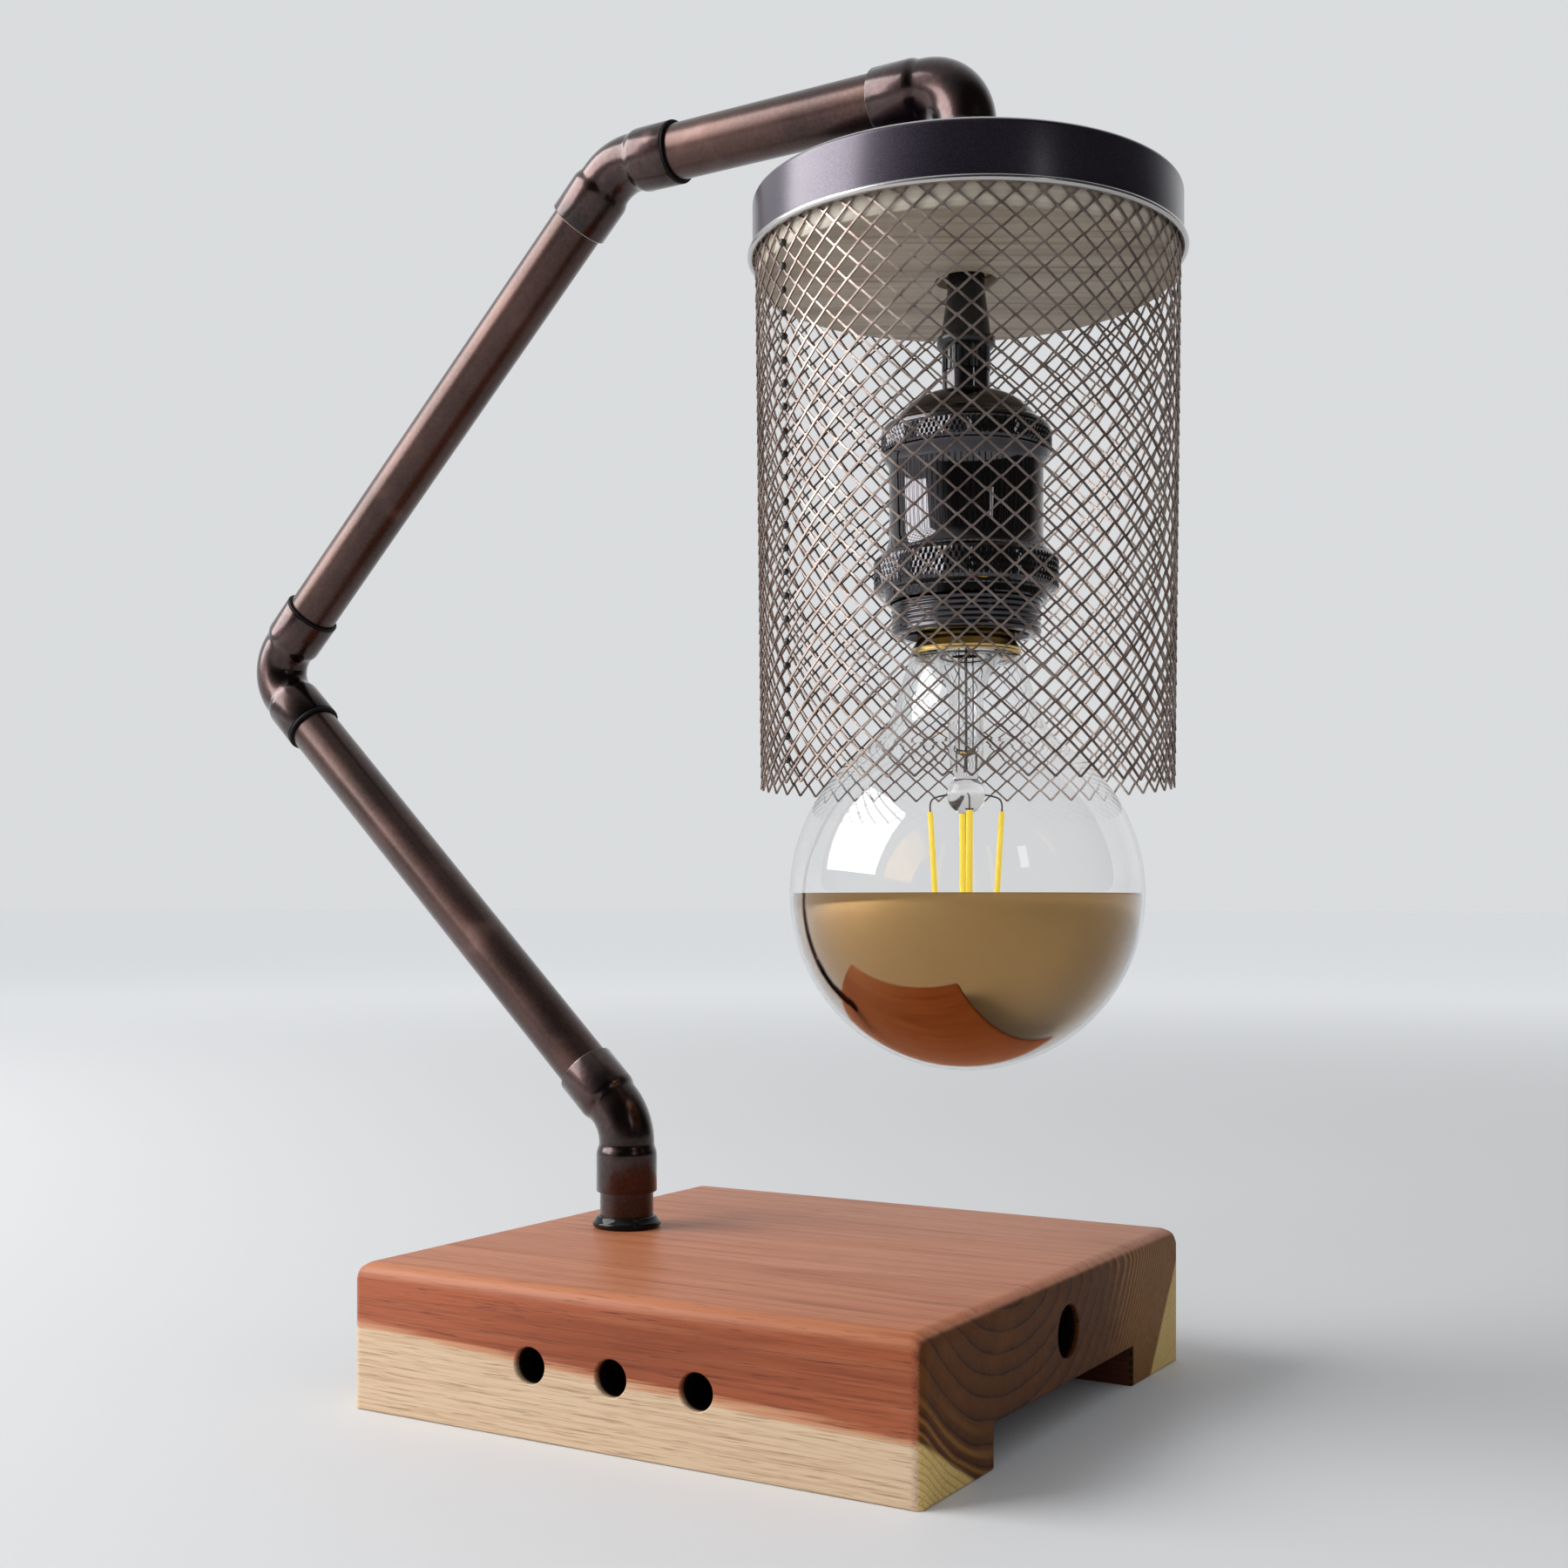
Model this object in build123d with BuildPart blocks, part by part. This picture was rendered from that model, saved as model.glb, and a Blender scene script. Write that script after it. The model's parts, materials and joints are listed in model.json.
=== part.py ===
import os
from math import cos, radians, sin, sqrt, tan

from build123d import *

os.makedirs("parts", exist_ok=True)

# Table lamp: a copper pipe arm on a hardwood block, with a mesh shade and a mirrored bulb.
# Millimetres and degrees. X runs along the base towards the shade and Z is up.
# The origin lies on the table, under the middle of the lamp's length.

# Copper pipe and solder fittings
pipe_od = 15.9
pipe_wall = 0.9
cup_length = 13.5
cup_wall = 1.1
bend_wall = 1.2
step_length = 1.0
mouth_chamfer = 0.3
slow_bend_radius = 16.0
tight_bend_radius = 12.0
solder_gap = 0.05
swivel_gap = 0.1
pipe_end_gap = 0.3

# Arm, measured between the corners of its centre line
stub_rise = 71.5
lower_run = 206.0
lower_lean = 46.2
upper_run = 204.5
upper_lean = 45.4
top_run = 115.4

# Rubber rings
grommet_thickness = 3.5
grommet_od = 20.4
knee_lower_ring_thickness = 1.3
thin_ring_thickness = 0.8
ring_seat_gap = 0.05

# Hardwood base
base_length = 172.0
base_width = 169.0
base_height = 39.5
stub_to_base_centre = 56.0
foot_width = 38.0
channel_height = 11.4
base_top_fillet = 4.5
base_corner_fillet = 3.0
base_foot_chamfer = 0.8
front_bore_diameter = 9.5
front_bore_depth = 28.0
front_bore_depth_step = 2.0
front_bore_spacing = 25.4
front_bore_height = 19.0
front_bore_count = 3
side_bore_diameter = 14.0
side_bore_depth = 40.0
side_bore_height = 24.4

# Anchor under the base
washer_od = 30.0
washer_thickness = 1.2
anchor_nut_width = 24.0
anchor_nut_height = 6.0
anchor_running_gap = 0.2
stub_tail = 1.0

# Shade cap and wooden disc, measured down from the top pipe's axis
cap_drop = 32.8
cap_od = 115.0
cap_wall = 0.6
cap_height = 16.1
cap_corner_radius = 1.5
bead_radius = 0.95
bead_stand_out = 1.4
disc_below_cap = 21.2
disc_thickness = 16.0
disc_bore = 16.7
disc_edge_chamfer = 0.6
flange_od = 40.0
flange_thickness = 2.0
flange_hub_od = 22.0
locknut_width = 22.0
locknut_height = 4.0
flange_screw_diameter = 3.0
flange_screw_head = 5.6
flange_screw_head_height = 1.8
flange_screw_length = 12.0
flange_screw_circle = 31.0
flange_screw_count = 4

# Expanded metal shade, drawn with a coarse lattice
mesh_cover = 13.0
mesh_length = 149.8
mesh_wall = 0.75
mesh_taper = 1.6
mesh_seat_gap = 0.1
mesh_columns = 18
mesh_rows = 8
mesh_rim = 4.0
mesh_joint_gap = 0.02
strand_width = 1.8

# Nipple, cord grip and lamp holder, measured down from the disc's underside
nipple_od = 8.0
nipple_bore = 5.0
bushing_length = 12.0
pipe_above_disc_face = 2.5
nipple_in_bushing = 9.0
grip_rise = 2.0
grip_top_diameter = 10.0
grip_base_diameter = 13.4
grip_length = 17.2
grip_flange_diameter = 15.7
grip_flange_height = 3.2
rib_nut_diameter = 13.0
rib_nut_height = 6.1
rib_count = 24
rib_depth = 0.5
neck_diameter = 12.8
neck_length = 6.0
dome_height = 6.6
dome_diameter = 37.6
knurl_diameter = 46.0
cap_shoulder = 4.4
knurl_height = 5.2
holder_wall = 1.5
holder_diameter = 41.4
holder_length = 27.2
holder_top_flare = 3.5
holder_rim_flare = 3.7
holder_rim_diameter = 44.2
spigot_length = 5.0
thread_diameter = 40.4
thread_length = 21.6
lip_width = 1.8
lip_height = 4.5
shade_ring_diameter = 49.8
shade_ring_height = 9.8
shade_ring_skirt = 2.7
shade_ring_gap = 0.3
thread_gap = 0.2
insulator_height = 34.0
insulator_floor = 6.0
insulator_gap = 0.1
shell_wall = 0.35
shell_length = 26.0
terminal_head = 6.4
terminal_height = 2.4
terminal_spacing = 17.0
contact_width = 6.0
contact_thickness = 0.6
contact_gap = 0.3
contact_arm = 7.0

# Globe bulb with an E27 cap
bulb_cap_diameter = 26.2
bulb_cap_gap = 0.25
bulb_cap_wall = 0.5
bulb_cap_length = 20.0
bulb_skirt_diameter = 29.8
bulb_skirt_height = 3.9
bulb_below_holder = 5.1
bulb_top_cone = 3.0
button_diameter = 16.0
button_height = 2.2
tip_diameter = 9.0
tip_height = 1.4
globe_diameter = 95.0
globe_wall = 0.8
globe_drop = 64.1
neck_glass_diameter = 24.8
neck_mouth_diameter = 30.4
neck_lean = 16.0
neck_bend_radius = 22.0
glass_in_cap = 3.2
mirror_thickness = 0.3
mirror_gap = 0.05
stem_diameter = 9.2
stem_length = 34.0
stem_flare_height = 13.0
stem_bead_diameter = 10.4
filament_count = 4
filament_angle = 31.0
filament_width = 1.5
filament_length = 38.0
filament_top_radius = 9.6
filament_foot_radius = 7.4
filament_top_drop = 42.4
wire_radius = 0.3
wire_tail = 3.0
driver_diameter = 18.0
driver_height = 9.0

# Places worked out from the sizes above
pipe_radius = pipe_od / 2
bore_radius = pipe_radius - pipe_wall
cup_radius = pipe_radius + cup_wall
bend_radius_outer = bore_radius + bend_wall
up = Vector(0, 0, 1)
lower_way = Vector(-sin(radians(lower_lean)), 0, cos(radians(lower_lean)))
upper_way = Vector(sin(radians(upper_lean)), 0, cos(radians(upper_lean)))
top_way = Vector(1, 0, 0)
knee_turn = lower_lean + upper_lean
shoulder_turn = 90 - upper_lean

knee_offset = lower_way * lower_run
shoulder_offset = knee_offset + upper_way * upper_run
shade_offset = shoulder_offset + top_way * top_run
knee_arc_depth = tight_bend_radius / cos(radians(knee_turn / 2)) * cos(radians((lower_lean - upper_lean) / 2))
reach_back = knee_offset.X + knee_arc_depth - tight_bend_radius - bend_radius_outer
reach_front = shade_offset.X + cap_od / 2 + bead_stand_out
stub_x = -(reach_back + reach_front) / 2

bottom_corner = Vector(stub_x, 0, stub_rise)
knee_corner = bottom_corner + knee_offset
shoulder_corner = bottom_corner + shoulder_offset
top_corner = bottom_corner + shade_offset
base_x = stub_x + stub_to_base_centre
shade_x = top_corner.X
axis_foot = Vector(shade_x, 0, 0)
cap_top = top_corner.Z - cap_drop
cap_bottom = cap_top - cap_height
disc_bottom = cap_top - disc_below_cap
disc_top = disc_bottom + disc_thickness


def setback(turn, bend_radius):
    # Distance from a bend's corner to the start of its arc
    return bend_radius * tan(radians(turn / 2))


def axial_plane(origin, way):
    # X of this plane is a radius and Y runs along the axis
    radius_way = Vector(0, 1, 0)
    return Plane(origin=origin, x_dir=radius_way, z_dir=radius_way.cross(way))


def spin(points, origin=axis_foot, way=up, mode=Mode.ADD):
    # Turned shape from a closed outline of (radius, distance along the axis) points
    with BuildSketch(axial_plane(origin, way)) as profile:
        with BuildLine():
            Polyline(*points, close=True)
        make_face()
    revolve(profile.sketch, axis=Axis(origin, way), mode=mode)


def tube(origin, way, length, inner_radius, outer_radius):
    spin([(inner_radius, 0), (outer_radius, 0), (outer_radius, length), (inner_radius, length)], origin, way)


def hex_prism(centre, z, width, height, hole_radius):
    with BuildSketch(Plane(origin=(centre.X, centre.Y, z))) as section:
        RegularPolygon(radius=width / 2, side_count=6, major_radius=False)
        Circle(hole_radius, mode=Mode.SUBTRACT)
    extrude(section.sketch, amount=height)


def elbow(corner, arrive, leave, turn, bend_radius, arrive_gap, leave_gap):
    # Cast bend with a stepped cup at each end for the pipes
    start = corner - arrive * setback(turn, bend_radius)
    end = corner + leave * setback(turn, bend_radius)
    with BuildLine() as centre_line:
        TangentArc(start, end, tangent=arrive)
    with BuildSketch(Plane(origin=start, z_dir=arrive)) as section:
        Circle(bend_radius_outer)
        Circle(bore_radius, mode=Mode.SUBTRACT)
    sweep(section.sketch, path=centre_line.line)
    for origin, way, gap in ((start, arrive * -1, arrive_gap), (end, leave, leave_gap)):
        seat = pipe_radius + gap
        length = step_length + cup_length
        spin(
            [
                (bore_radius, 0),
                (bend_radius_outer, 0),
                (cup_radius, step_length),
                (cup_radius, length - mouth_chamfer),
                (cup_radius - mouth_chamfer, length),
                (seat, length),
                (seat, step_length),
                (bore_radius, step_length),
            ],
            origin,
            way,
        )


def pipe_between(start, start_back, end, end_back, way):
    # Pipe that stops just short of the bottom of the cup at each end
    first = start + way * (start_back + step_length + pipe_end_gap)
    last = end - way * (end_back + step_length + pipe_end_gap)
    tube(first, way, (last - first).length, bore_radius, pipe_radius)


def mouth(corner, way, turn, bend_radius):
    return corner + way * (setback(turn, bend_radius) + step_length + cup_length)


def rubber_ring(origin, way, thickness, outer_radius):
    # Ring with a rounded outer edge, seated on a mouth
    inner_radius = pipe_radius + swivel_gap
    edge = min(thickness, outer_radius - inner_radius) * 0.3
    spin(
        [
            (inner_radius, 0),
            (outer_radius - edge, 0),
            (outer_radius, edge),
            (outer_radius, thickness - edge),
            (outer_radius - edge, thickness),
            (inner_radius, thickness),
        ],
        origin,
        way,
    )


# Base block: two feet, a cable channel between them, and drilled bores
with BuildPart() as base_block:
    with BuildSketch(Plane(origin=(base_x, 0, 0))):
        Rectangle(base_length, base_width)
    extrude(amount=base_height)
    fillet(base_block.edges().filter_by(Axis.Z), radius=base_corner_fillet)
    fillet(base_block.faces().sort_by(Axis.Z)[-1].edges(), radius=base_top_fillet)
    chamfer(base_block.faces().sort_by(Axis.Z)[0].edges(), length=base_foot_chamfer)
    with BuildSketch(Plane(origin=(base_x, 0, 0))):
        Rectangle(base_length + 2, base_width - 2 * foot_width)
    extrude(amount=channel_height, mode=Mode.SUBTRACT)
    with BuildSketch(Plane(origin=(stub_x, 0, 0))):
        Circle(pipe_radius + swivel_gap)
    extrude(amount=base_height, mode=Mode.SUBTRACT)
    front_face = Plane(origin=(base_x, -base_width / 2, front_bore_height), x_dir=(1, 0, 0), z_dir=(0, -1, 0))
    for index in range(front_bore_count):
        # Each bore is drilled a little deeper than the one before
        with BuildSketch(front_face):
            with Locations(((index - (front_bore_count - 1) / 2) * front_bore_spacing, 0)):
                Circle(front_bore_diameter / 2)
        extrude(amount=-(front_bore_depth + index * front_bore_depth_step), mode=Mode.SUBTRACT)
    with BuildSketch(Plane(origin=(base_x + base_length / 2, 0, side_bore_height), z_dir=(1, 0, 0))):
        Circle(side_bore_diameter / 2)
    extrude(amount=-side_bore_depth, mode=Mode.SUBTRACT)

# Stub pipe through the base, with its grommet on top and its washer and nut in the channel
nut_bottom = channel_height - anchor_running_gap - washer_thickness - anchor_nut_height
stub_bottom = nut_bottom - stub_tail
stub_top = stub_rise - setback(lower_lean, slow_bend_radius) - step_length - pipe_end_gap

with BuildPart() as stub_pipe:
    tube(Vector(stub_x, 0, stub_bottom), up, stub_top - stub_bottom, bore_radius, pipe_radius)

with BuildPart() as foot_grommet:
    rubber_ring(Vector(stub_x, 0, base_height + swivel_gap), up, grommet_thickness, grommet_od / 2)

with BuildPart() as anchor_washer:
    washer_bottom = nut_bottom + anchor_nut_height
    tube(Vector(stub_x, 0, washer_bottom), up, washer_thickness, pipe_radius + solder_gap, washer_od / 2)

with BuildPart() as anchor_nut:
    hex_prism(Vector(stub_x, 0), nut_bottom, anchor_nut_width, anchor_nut_height, pipe_radius + solder_gap)

# Arm
with BuildPart() as bottom_elbow:
    elbow(bottom_corner, up, lower_way, lower_lean, slow_bend_radius, solder_gap, solder_gap)

with BuildPart() as lower_pipe:
    pipe_between(
        bottom_corner,
        setback(lower_lean, slow_bend_radius),
        knee_corner,
        setback(knee_turn, tight_bend_radius),
        lower_way,
    )

with BuildPart() as knee_elbow:
    elbow(knee_corner, lower_way, upper_way, knee_turn, tight_bend_radius, swivel_gap, swivel_gap)

with BuildPart() as knee_lower_ring:
    ring_start = mouth(knee_corner, lower_way * -1, knee_turn, tight_bend_radius) - lower_way * ring_seat_gap
    rubber_ring(ring_start, lower_way * -1, knee_lower_ring_thickness, cup_radius)

with BuildPart() as knee_upper_ring:
    ring_start = mouth(knee_corner, upper_way, knee_turn, tight_bend_radius) + upper_way * ring_seat_gap
    rubber_ring(ring_start, upper_way, thin_ring_thickness, cup_radius)

with BuildPart() as upper_pipe:
    pipe_between(
        knee_corner,
        setback(knee_turn, tight_bend_radius),
        shoulder_corner,
        setback(shoulder_turn, slow_bend_radius),
        upper_way,
    )

with BuildPart() as shoulder_elbow:
    elbow(shoulder_corner, upper_way, top_way, shoulder_turn, slow_bend_radius, solder_gap, swivel_gap)

with BuildPart() as shoulder_ring:
    ring_start = mouth(shoulder_corner, top_way, shoulder_turn, slow_bend_radius) + top_way * ring_seat_gap
    rubber_ring(ring_start, top_way, thin_ring_thickness, cup_radius)

with BuildPart() as top_pipe:
    pipe_between(
        shoulder_corner,
        setback(shoulder_turn, slow_bend_radius),
        top_corner,
        setback(90, tight_bend_radius),
        top_way,
    )

with BuildPart() as top_elbow:
    elbow(top_corner, top_way, up * -1, 90, tight_bend_radius, solder_gap, solder_gap)

# Drop pipe down through the cap and the disc
drop_top = top_corner.Z - setback(90, tight_bend_radius) - step_length - pipe_end_gap
drop_bottom = disc_bottom + pipe_above_disc_face

with BuildPart() as drop_pipe:
    tube(Vector(shade_x, 0, drop_bottom), up, drop_top - drop_bottom, bore_radius, pipe_radius)

with BuildPart() as cap_locknut:
    hex_prism(axis_foot, cap_top, locknut_width, locknut_height, pipe_radius + solder_gap)

# Pressed cap with a rolled bead round its open edge
cap_radius = cap_od / 2
bead_centre = cap_bottom + bead_radius

with BuildPart() as shade_cap:
    with BuildSketch(axial_plane(axis_foot, up)) as cap_profile:
        with BuildLine():
            FilletPolyline(
                (pipe_radius + solder_gap, cap_top),
                (cap_radius, cap_top),
                (cap_radius, bead_centre),
                radius=cap_corner_radius,
            )
            FilletPolyline(
                (pipe_radius + solder_gap, cap_top - cap_wall),
                (cap_radius - cap_wall, cap_top - cap_wall),
                (cap_radius - cap_wall, bead_centre),
                radius=cap_corner_radius - cap_wall,
            )
            Line((pipe_radius + solder_gap, cap_top), (pipe_radius + solder_gap, cap_top - cap_wall))
            Line((cap_radius, bead_centre), (cap_radius - cap_wall, bead_centre))
        make_face()
        with Locations((cap_radius + bead_stand_out - bead_radius, bead_centre)):
            Circle(bead_radius)
    revolve(axis=Axis(axis_foot, up))

# Screw places shared by the flange, its screws and the disc
screw_radius = flange_screw_diameter / 2
flange_top = disc_top + flange_thickness

with BuildPart() as disc_flange:
    spin(
        [
            (pipe_radius + solder_gap, disc_top),
            (flange_od / 2, disc_top),
            (flange_od / 2, flange_top),
            (flange_hub_od / 2, flange_top),
            (flange_hub_od / 2, cap_top - cap_wall),
            (pipe_radius + solder_gap, cap_top - cap_wall),
        ]
    )
    with BuildSketch(Plane(origin=(shade_x, 0, disc_top))):
        with PolarLocations(flange_screw_circle / 2, flange_screw_count):
            Circle(screw_radius + solder_gap)
    extrude(amount=flange_thickness, mode=Mode.SUBTRACT)

with BuildPart() as flange_screws:
    with BuildSketch(Plane(origin=(shade_x, 0, flange_top - flange_screw_length))):
        with PolarLocations(flange_screw_circle / 2, flange_screw_count):
            Circle(screw_radius)
    extrude(amount=flange_screw_length)
    with BuildSketch(Plane(origin=(shade_x, 0, flange_top))):
        with PolarLocations(flange_screw_circle / 2, flange_screw_count):
            Circle(flange_screw_head / 2)
    extrude(amount=flange_screw_head_height)

# Expanded metal tube: flat strips between radial corners, pierced by staggered diamonds
mesh_sides = 2 * mesh_columns
half_side_angle = radians(180 / mesh_sides)
mesh_top = disc_bottom + mesh_cover
mesh_bottom = mesh_top - mesh_length
mesh_top_radius = cap_radius - cap_wall - mesh_seat_gap
mesh_bottom_radius = mesh_top_radius - mesh_taper
mesh_inner_step = mesh_wall / cos(half_side_angle)
row_pitch = (mesh_length - mesh_rim) / mesh_rows
half_gap_width = mesh_top_radius * 2 * half_side_angle
half_gap_height = row_pitch / 2
gap_scale = 1 - strand_width / 2 * sqrt(half_gap_width**2 + half_gap_height**2) / (half_gap_width * half_gap_height)


def mesh_corner(radius, index):
    # The outer corners stop just short of the next sector
    angle = 2 * half_side_angle * index - index * mesh_joint_gap / 2 / mesh_top_radius
    return radius * cos(angle), radius * sin(angle)


def column_plane(index):
    angle = 2 * half_side_angle * index
    outward = Vector(cos(angle), sin(angle), 0)
    return Plane(
        origin=Vector(0, 0, mesh_bottom) + outward * (mesh_top_radius + mesh_wall),
        x_dir=(-sin(angle), cos(angle), 0),
        z_dir=outward,
    )


# One sector holds a whole column of gaps and half of the column on each side
with BuildPart() as mesh_sector:
    for height, radius in ((mesh_bottom, mesh_bottom_radius), (mesh_top, mesh_top_radius)):
        with BuildSketch(Plane.XY.offset(height)):
            outer = [mesh_corner(radius, index) for index in (-1, 0, 1)]
            inner = [mesh_corner(radius - mesh_inner_step, index) for index in (1, 0, -1)]
            Polygon(*outer, *inner, align=None)
    loft(ruled=True)
    for stagger, columns in ((0, (0,)), (1, (-1, 1))):
        with BuildSketch(*[column_plane(index) for index in columns]):
            with Locations(*[(0, row_pitch * (row + stagger / 2)) for row in range(mesh_rows)]):
                Polygon(
                    (half_gap_width * gap_scale, 0),
                    (0, half_gap_height * gap_scale),
                    (-half_gap_width * gap_scale, 0),
                    (0, -half_gap_height * gap_scale),
                )
        extrude(amount=-(mesh_taper + 4 * mesh_wall), mode=Mode.SUBTRACT)

# The tube is a ring of sectors that meet at their crossings
with BuildPart(Plane(axis_foot)) as mesh_shade:
    with PolarLocations(0, mesh_columns):
        add(mesh_sector.part)

# Wooden disc that the mesh is wrapped round
mesh_at_disc = mesh_top_radius - mesh_taper * mesh_cover / mesh_length
disc_radius = (mesh_at_disc - mesh_inner_step) * cos(half_side_angle) - mesh_seat_gap

with BuildPart() as wood_disc:
    with BuildSketch(Plane(origin=(shade_x, 0, disc_bottom))):
        Circle(disc_radius)
        Circle(disc_bore / 2, mode=Mode.SUBTRACT)
    extrude(amount=disc_thickness)
    rim_edges = wood_disc.edges().filter_by(GeomType.CIRCLE).sort_by(SortBy.RADIUS)[-2:]
    chamfer(rim_edges, length=disc_edge_chamfer)
    with BuildSketch(Plane(origin=(shade_x, 0, disc_top))):
        with PolarLocations(flange_screw_circle / 2, flange_screw_count):
            Circle(screw_radius + solder_gap)
    extrude(amount=flange_thickness - flange_screw_length, mode=Mode.SUBTRACT)

# Bushing in the end of the drop pipe, with the nipple that carries the lamp holder
grip_top = disc_bottom + grip_rise
grip_bottom = grip_top - grip_length
grip_flange_bottom = grip_bottom - grip_flange_height
nut_foot = grip_flange_bottom - rib_nut_height
neck_bottom = nut_foot - neck_length
nipple_radius = nipple_od / 2

with BuildPart() as pipe_bushing:
    tube(Vector(shade_x, 0, drop_bottom), up, bushing_length, nipple_radius + solder_gap, bore_radius - solder_gap)

with BuildPart() as nipple:
    nipple_top = drop_bottom + nipple_in_bushing
    tube(Vector(shade_x, 0, neck_bottom), up, nipple_top - neck_bottom, nipple_bore / 2, nipple_radius)

with BuildPart() as cord_grip:
    spin(
        [
            (nipple_radius + solder_gap, grip_top),
            (grip_top_diameter / 2, grip_top),
            (grip_top_diameter / 2, grip_top - grip_length / 3),
            (grip_base_diameter / 2, grip_bottom),
            (grip_flange_diameter / 2, grip_bottom),
            (grip_flange_diameter / 2, grip_flange_bottom + 0.3 * grip_flange_height),
            (rib_nut_diameter / 2, grip_flange_bottom),
            (nipple_radius + solder_gap, grip_flange_bottom),
        ]
    )

with BuildPart() as grip_nut:
    with BuildSketch(Plane(origin=(shade_x, 0, nut_foot))):
        Circle(rib_nut_diameter / 2)
        Circle(nipple_radius + solder_gap, mode=Mode.SUBTRACT)
        with PolarLocations(rib_nut_diameter / 2, rib_count):
            Rectangle(2 * rib_depth, rib_depth, mode=Mode.SUBTRACT)
    extrude(amount=rib_nut_height)

# Lamp holder cap: neck, dome, rounded shoulder and knurled skirt
dome_foot = neck_bottom - dome_height
knurl_top = dome_foot - cap_shoulder
knurl_bottom = knurl_top - knurl_height
spigot_top = knurl_bottom + spigot_length
spigot_radius = knurl_diameter / 2 - 2 * holder_wall

with BuildPart() as socket_cap:
    with BuildSketch(axial_plane(axis_foot, up)):
        with BuildLine():
            Polyline(
                (neck_diameter / 2, neck_bottom),
                (neck_diameter / 2, nut_foot),
                (nipple_radius + solder_gap, nut_foot),
                (nipple_radius + solder_gap, neck_bottom - holder_wall),
            )
            TangentArc(
                (nipple_radius + solder_gap, neck_bottom - holder_wall),
                (dome_diameter / 2 - holder_wall, dome_foot - holder_wall),
                tangent=(1, 0),
            )
            Polyline(
                (dome_diameter / 2 - holder_wall, dome_foot - holder_wall),
                (spigot_radius + solder_gap, knurl_top),
                (spigot_radius + solder_gap, knurl_bottom),
                (knurl_diameter / 2, knurl_bottom),
                (knurl_diameter / 2, knurl_top),
            )
            ThreePointArc(
                (knurl_diameter / 2, knurl_top),
                (
                    (0.3 * dome_diameter + 0.7 * knurl_diameter) / 2,
                    knurl_top + 0.7 * cap_shoulder,
                ),
                (dome_diameter / 2, dome_foot),
            )
            TangentArc((neck_diameter / 2, neck_bottom), (dome_diameter / 2, dome_foot), tangent=(1, 0))
        make_face()
    revolve(axis=Axis(axis_foot, up))

# Lamp holder body: spigot, flares, barrel and threaded sleeve with an inner lip
holder_bottom = knurl_bottom - holder_length
sleeve_bottom = holder_bottom - thread_length
barrel_radius = holder_diameter / 2
thread_radius = thread_diameter / 2
inner_radius = thread_radius - holder_wall
lip_top = sleeve_bottom + lip_height

with BuildPart() as socket_body:
    spin(
        [
            (inner_radius, spigot_top),
            (spigot_radius, spigot_top),
            (spigot_radius, knurl_bottom),
            (knurl_diameter / 2 - 0.3 * holder_wall, knurl_bottom),
            (barrel_radius, knurl_bottom - holder_top_flare),
            (barrel_radius, holder_bottom + holder_rim_flare),
            (holder_rim_diameter / 2, holder_bottom),
            (thread_radius, holder_bottom),
            (thread_radius, sleeve_bottom),
            (inner_radius - lip_width, sleeve_bottom),
            (inner_radius - lip_width, lip_top),
            (inner_radius, lip_top),
        ]
    )

with BuildPart() as shade_ring:
    ring_top = holder_bottom - shade_ring_gap
    ring_bottom = ring_top - shade_ring_height
    ring_radius = shade_ring_diameter / 2
    spin(
        [
            (thread_radius + thread_gap, ring_top),
            (ring_radius - 0.8 * holder_wall, ring_top),
            (ring_radius, ring_top - 0.8 * holder_wall),
            (ring_radius, ring_bottom),
            (thread_radius + holder_wall, ring_bottom - shade_ring_skirt),
            (thread_radius + thread_gap, ring_bottom - shade_ring_skirt),
        ]
    )

# Heights of the bulb, which the holder's contact rests on
skirt_bottom = sleeve_bottom - bulb_below_holder
cap_shell_bottom = skirt_bottom + bulb_skirt_height
cap_shell_top = cap_shell_bottom + bulb_cap_length
cone_top = cap_shell_top + bulb_top_cone
button_top = cone_top + button_height
tip_top = button_top + tip_height

# Insulator, screw shell and contacts inside the holder
shell_outer = bulb_cap_diameter / 2 + bulb_cap_gap + shell_wall
insulator_bottom = lip_top
insulator_top = insulator_bottom + insulator_height
floor_bottom = insulator_top - insulator_floor
terminal_radius = terminal_head / 2

with BuildPart() as socket_insulator:
    with BuildSketch(Plane(origin=(shade_x, 0, insulator_bottom))):
        Circle(inner_radius - insulator_gap)
    extrude(amount=insulator_height)
    with BuildSketch(Plane(origin=(shade_x, 0, insulator_bottom))):
        Circle(shell_outer + solder_gap)
    extrude(amount=insulator_height - insulator_floor, mode=Mode.SUBTRACT)
    with BuildSketch(Plane(origin=(shade_x, 0, insulator_top))):
        with GridLocations(terminal_spacing, 0, 2, 1):
            Circle(terminal_radius / 2 + solder_gap)
    extrude(amount=-insulator_floor, mode=Mode.SUBTRACT)

with BuildPart() as screw_shell:
    tube(
        Vector(shade_x, 0, floor_bottom - shell_length),
        up,
        shell_length,
        shell_outer - shell_wall,
        shell_outer,
    )

with BuildPart() as terminal_screws:
    with BuildSketch(Plane(origin=(shade_x, 0, floor_bottom))):
        with GridLocations(terminal_spacing, 0, 2, 1):
            Circle(terminal_radius / 2)
    extrude(amount=insulator_floor)
    with BuildSketch(Plane(origin=(shade_x, 0, insulator_top))):
        with GridLocations(terminal_spacing, 0, 2, 1):
            Circle(terminal_radius)
    extrude(amount=terminal_height)

contact_bottom = tip_top + contact_gap

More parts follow.
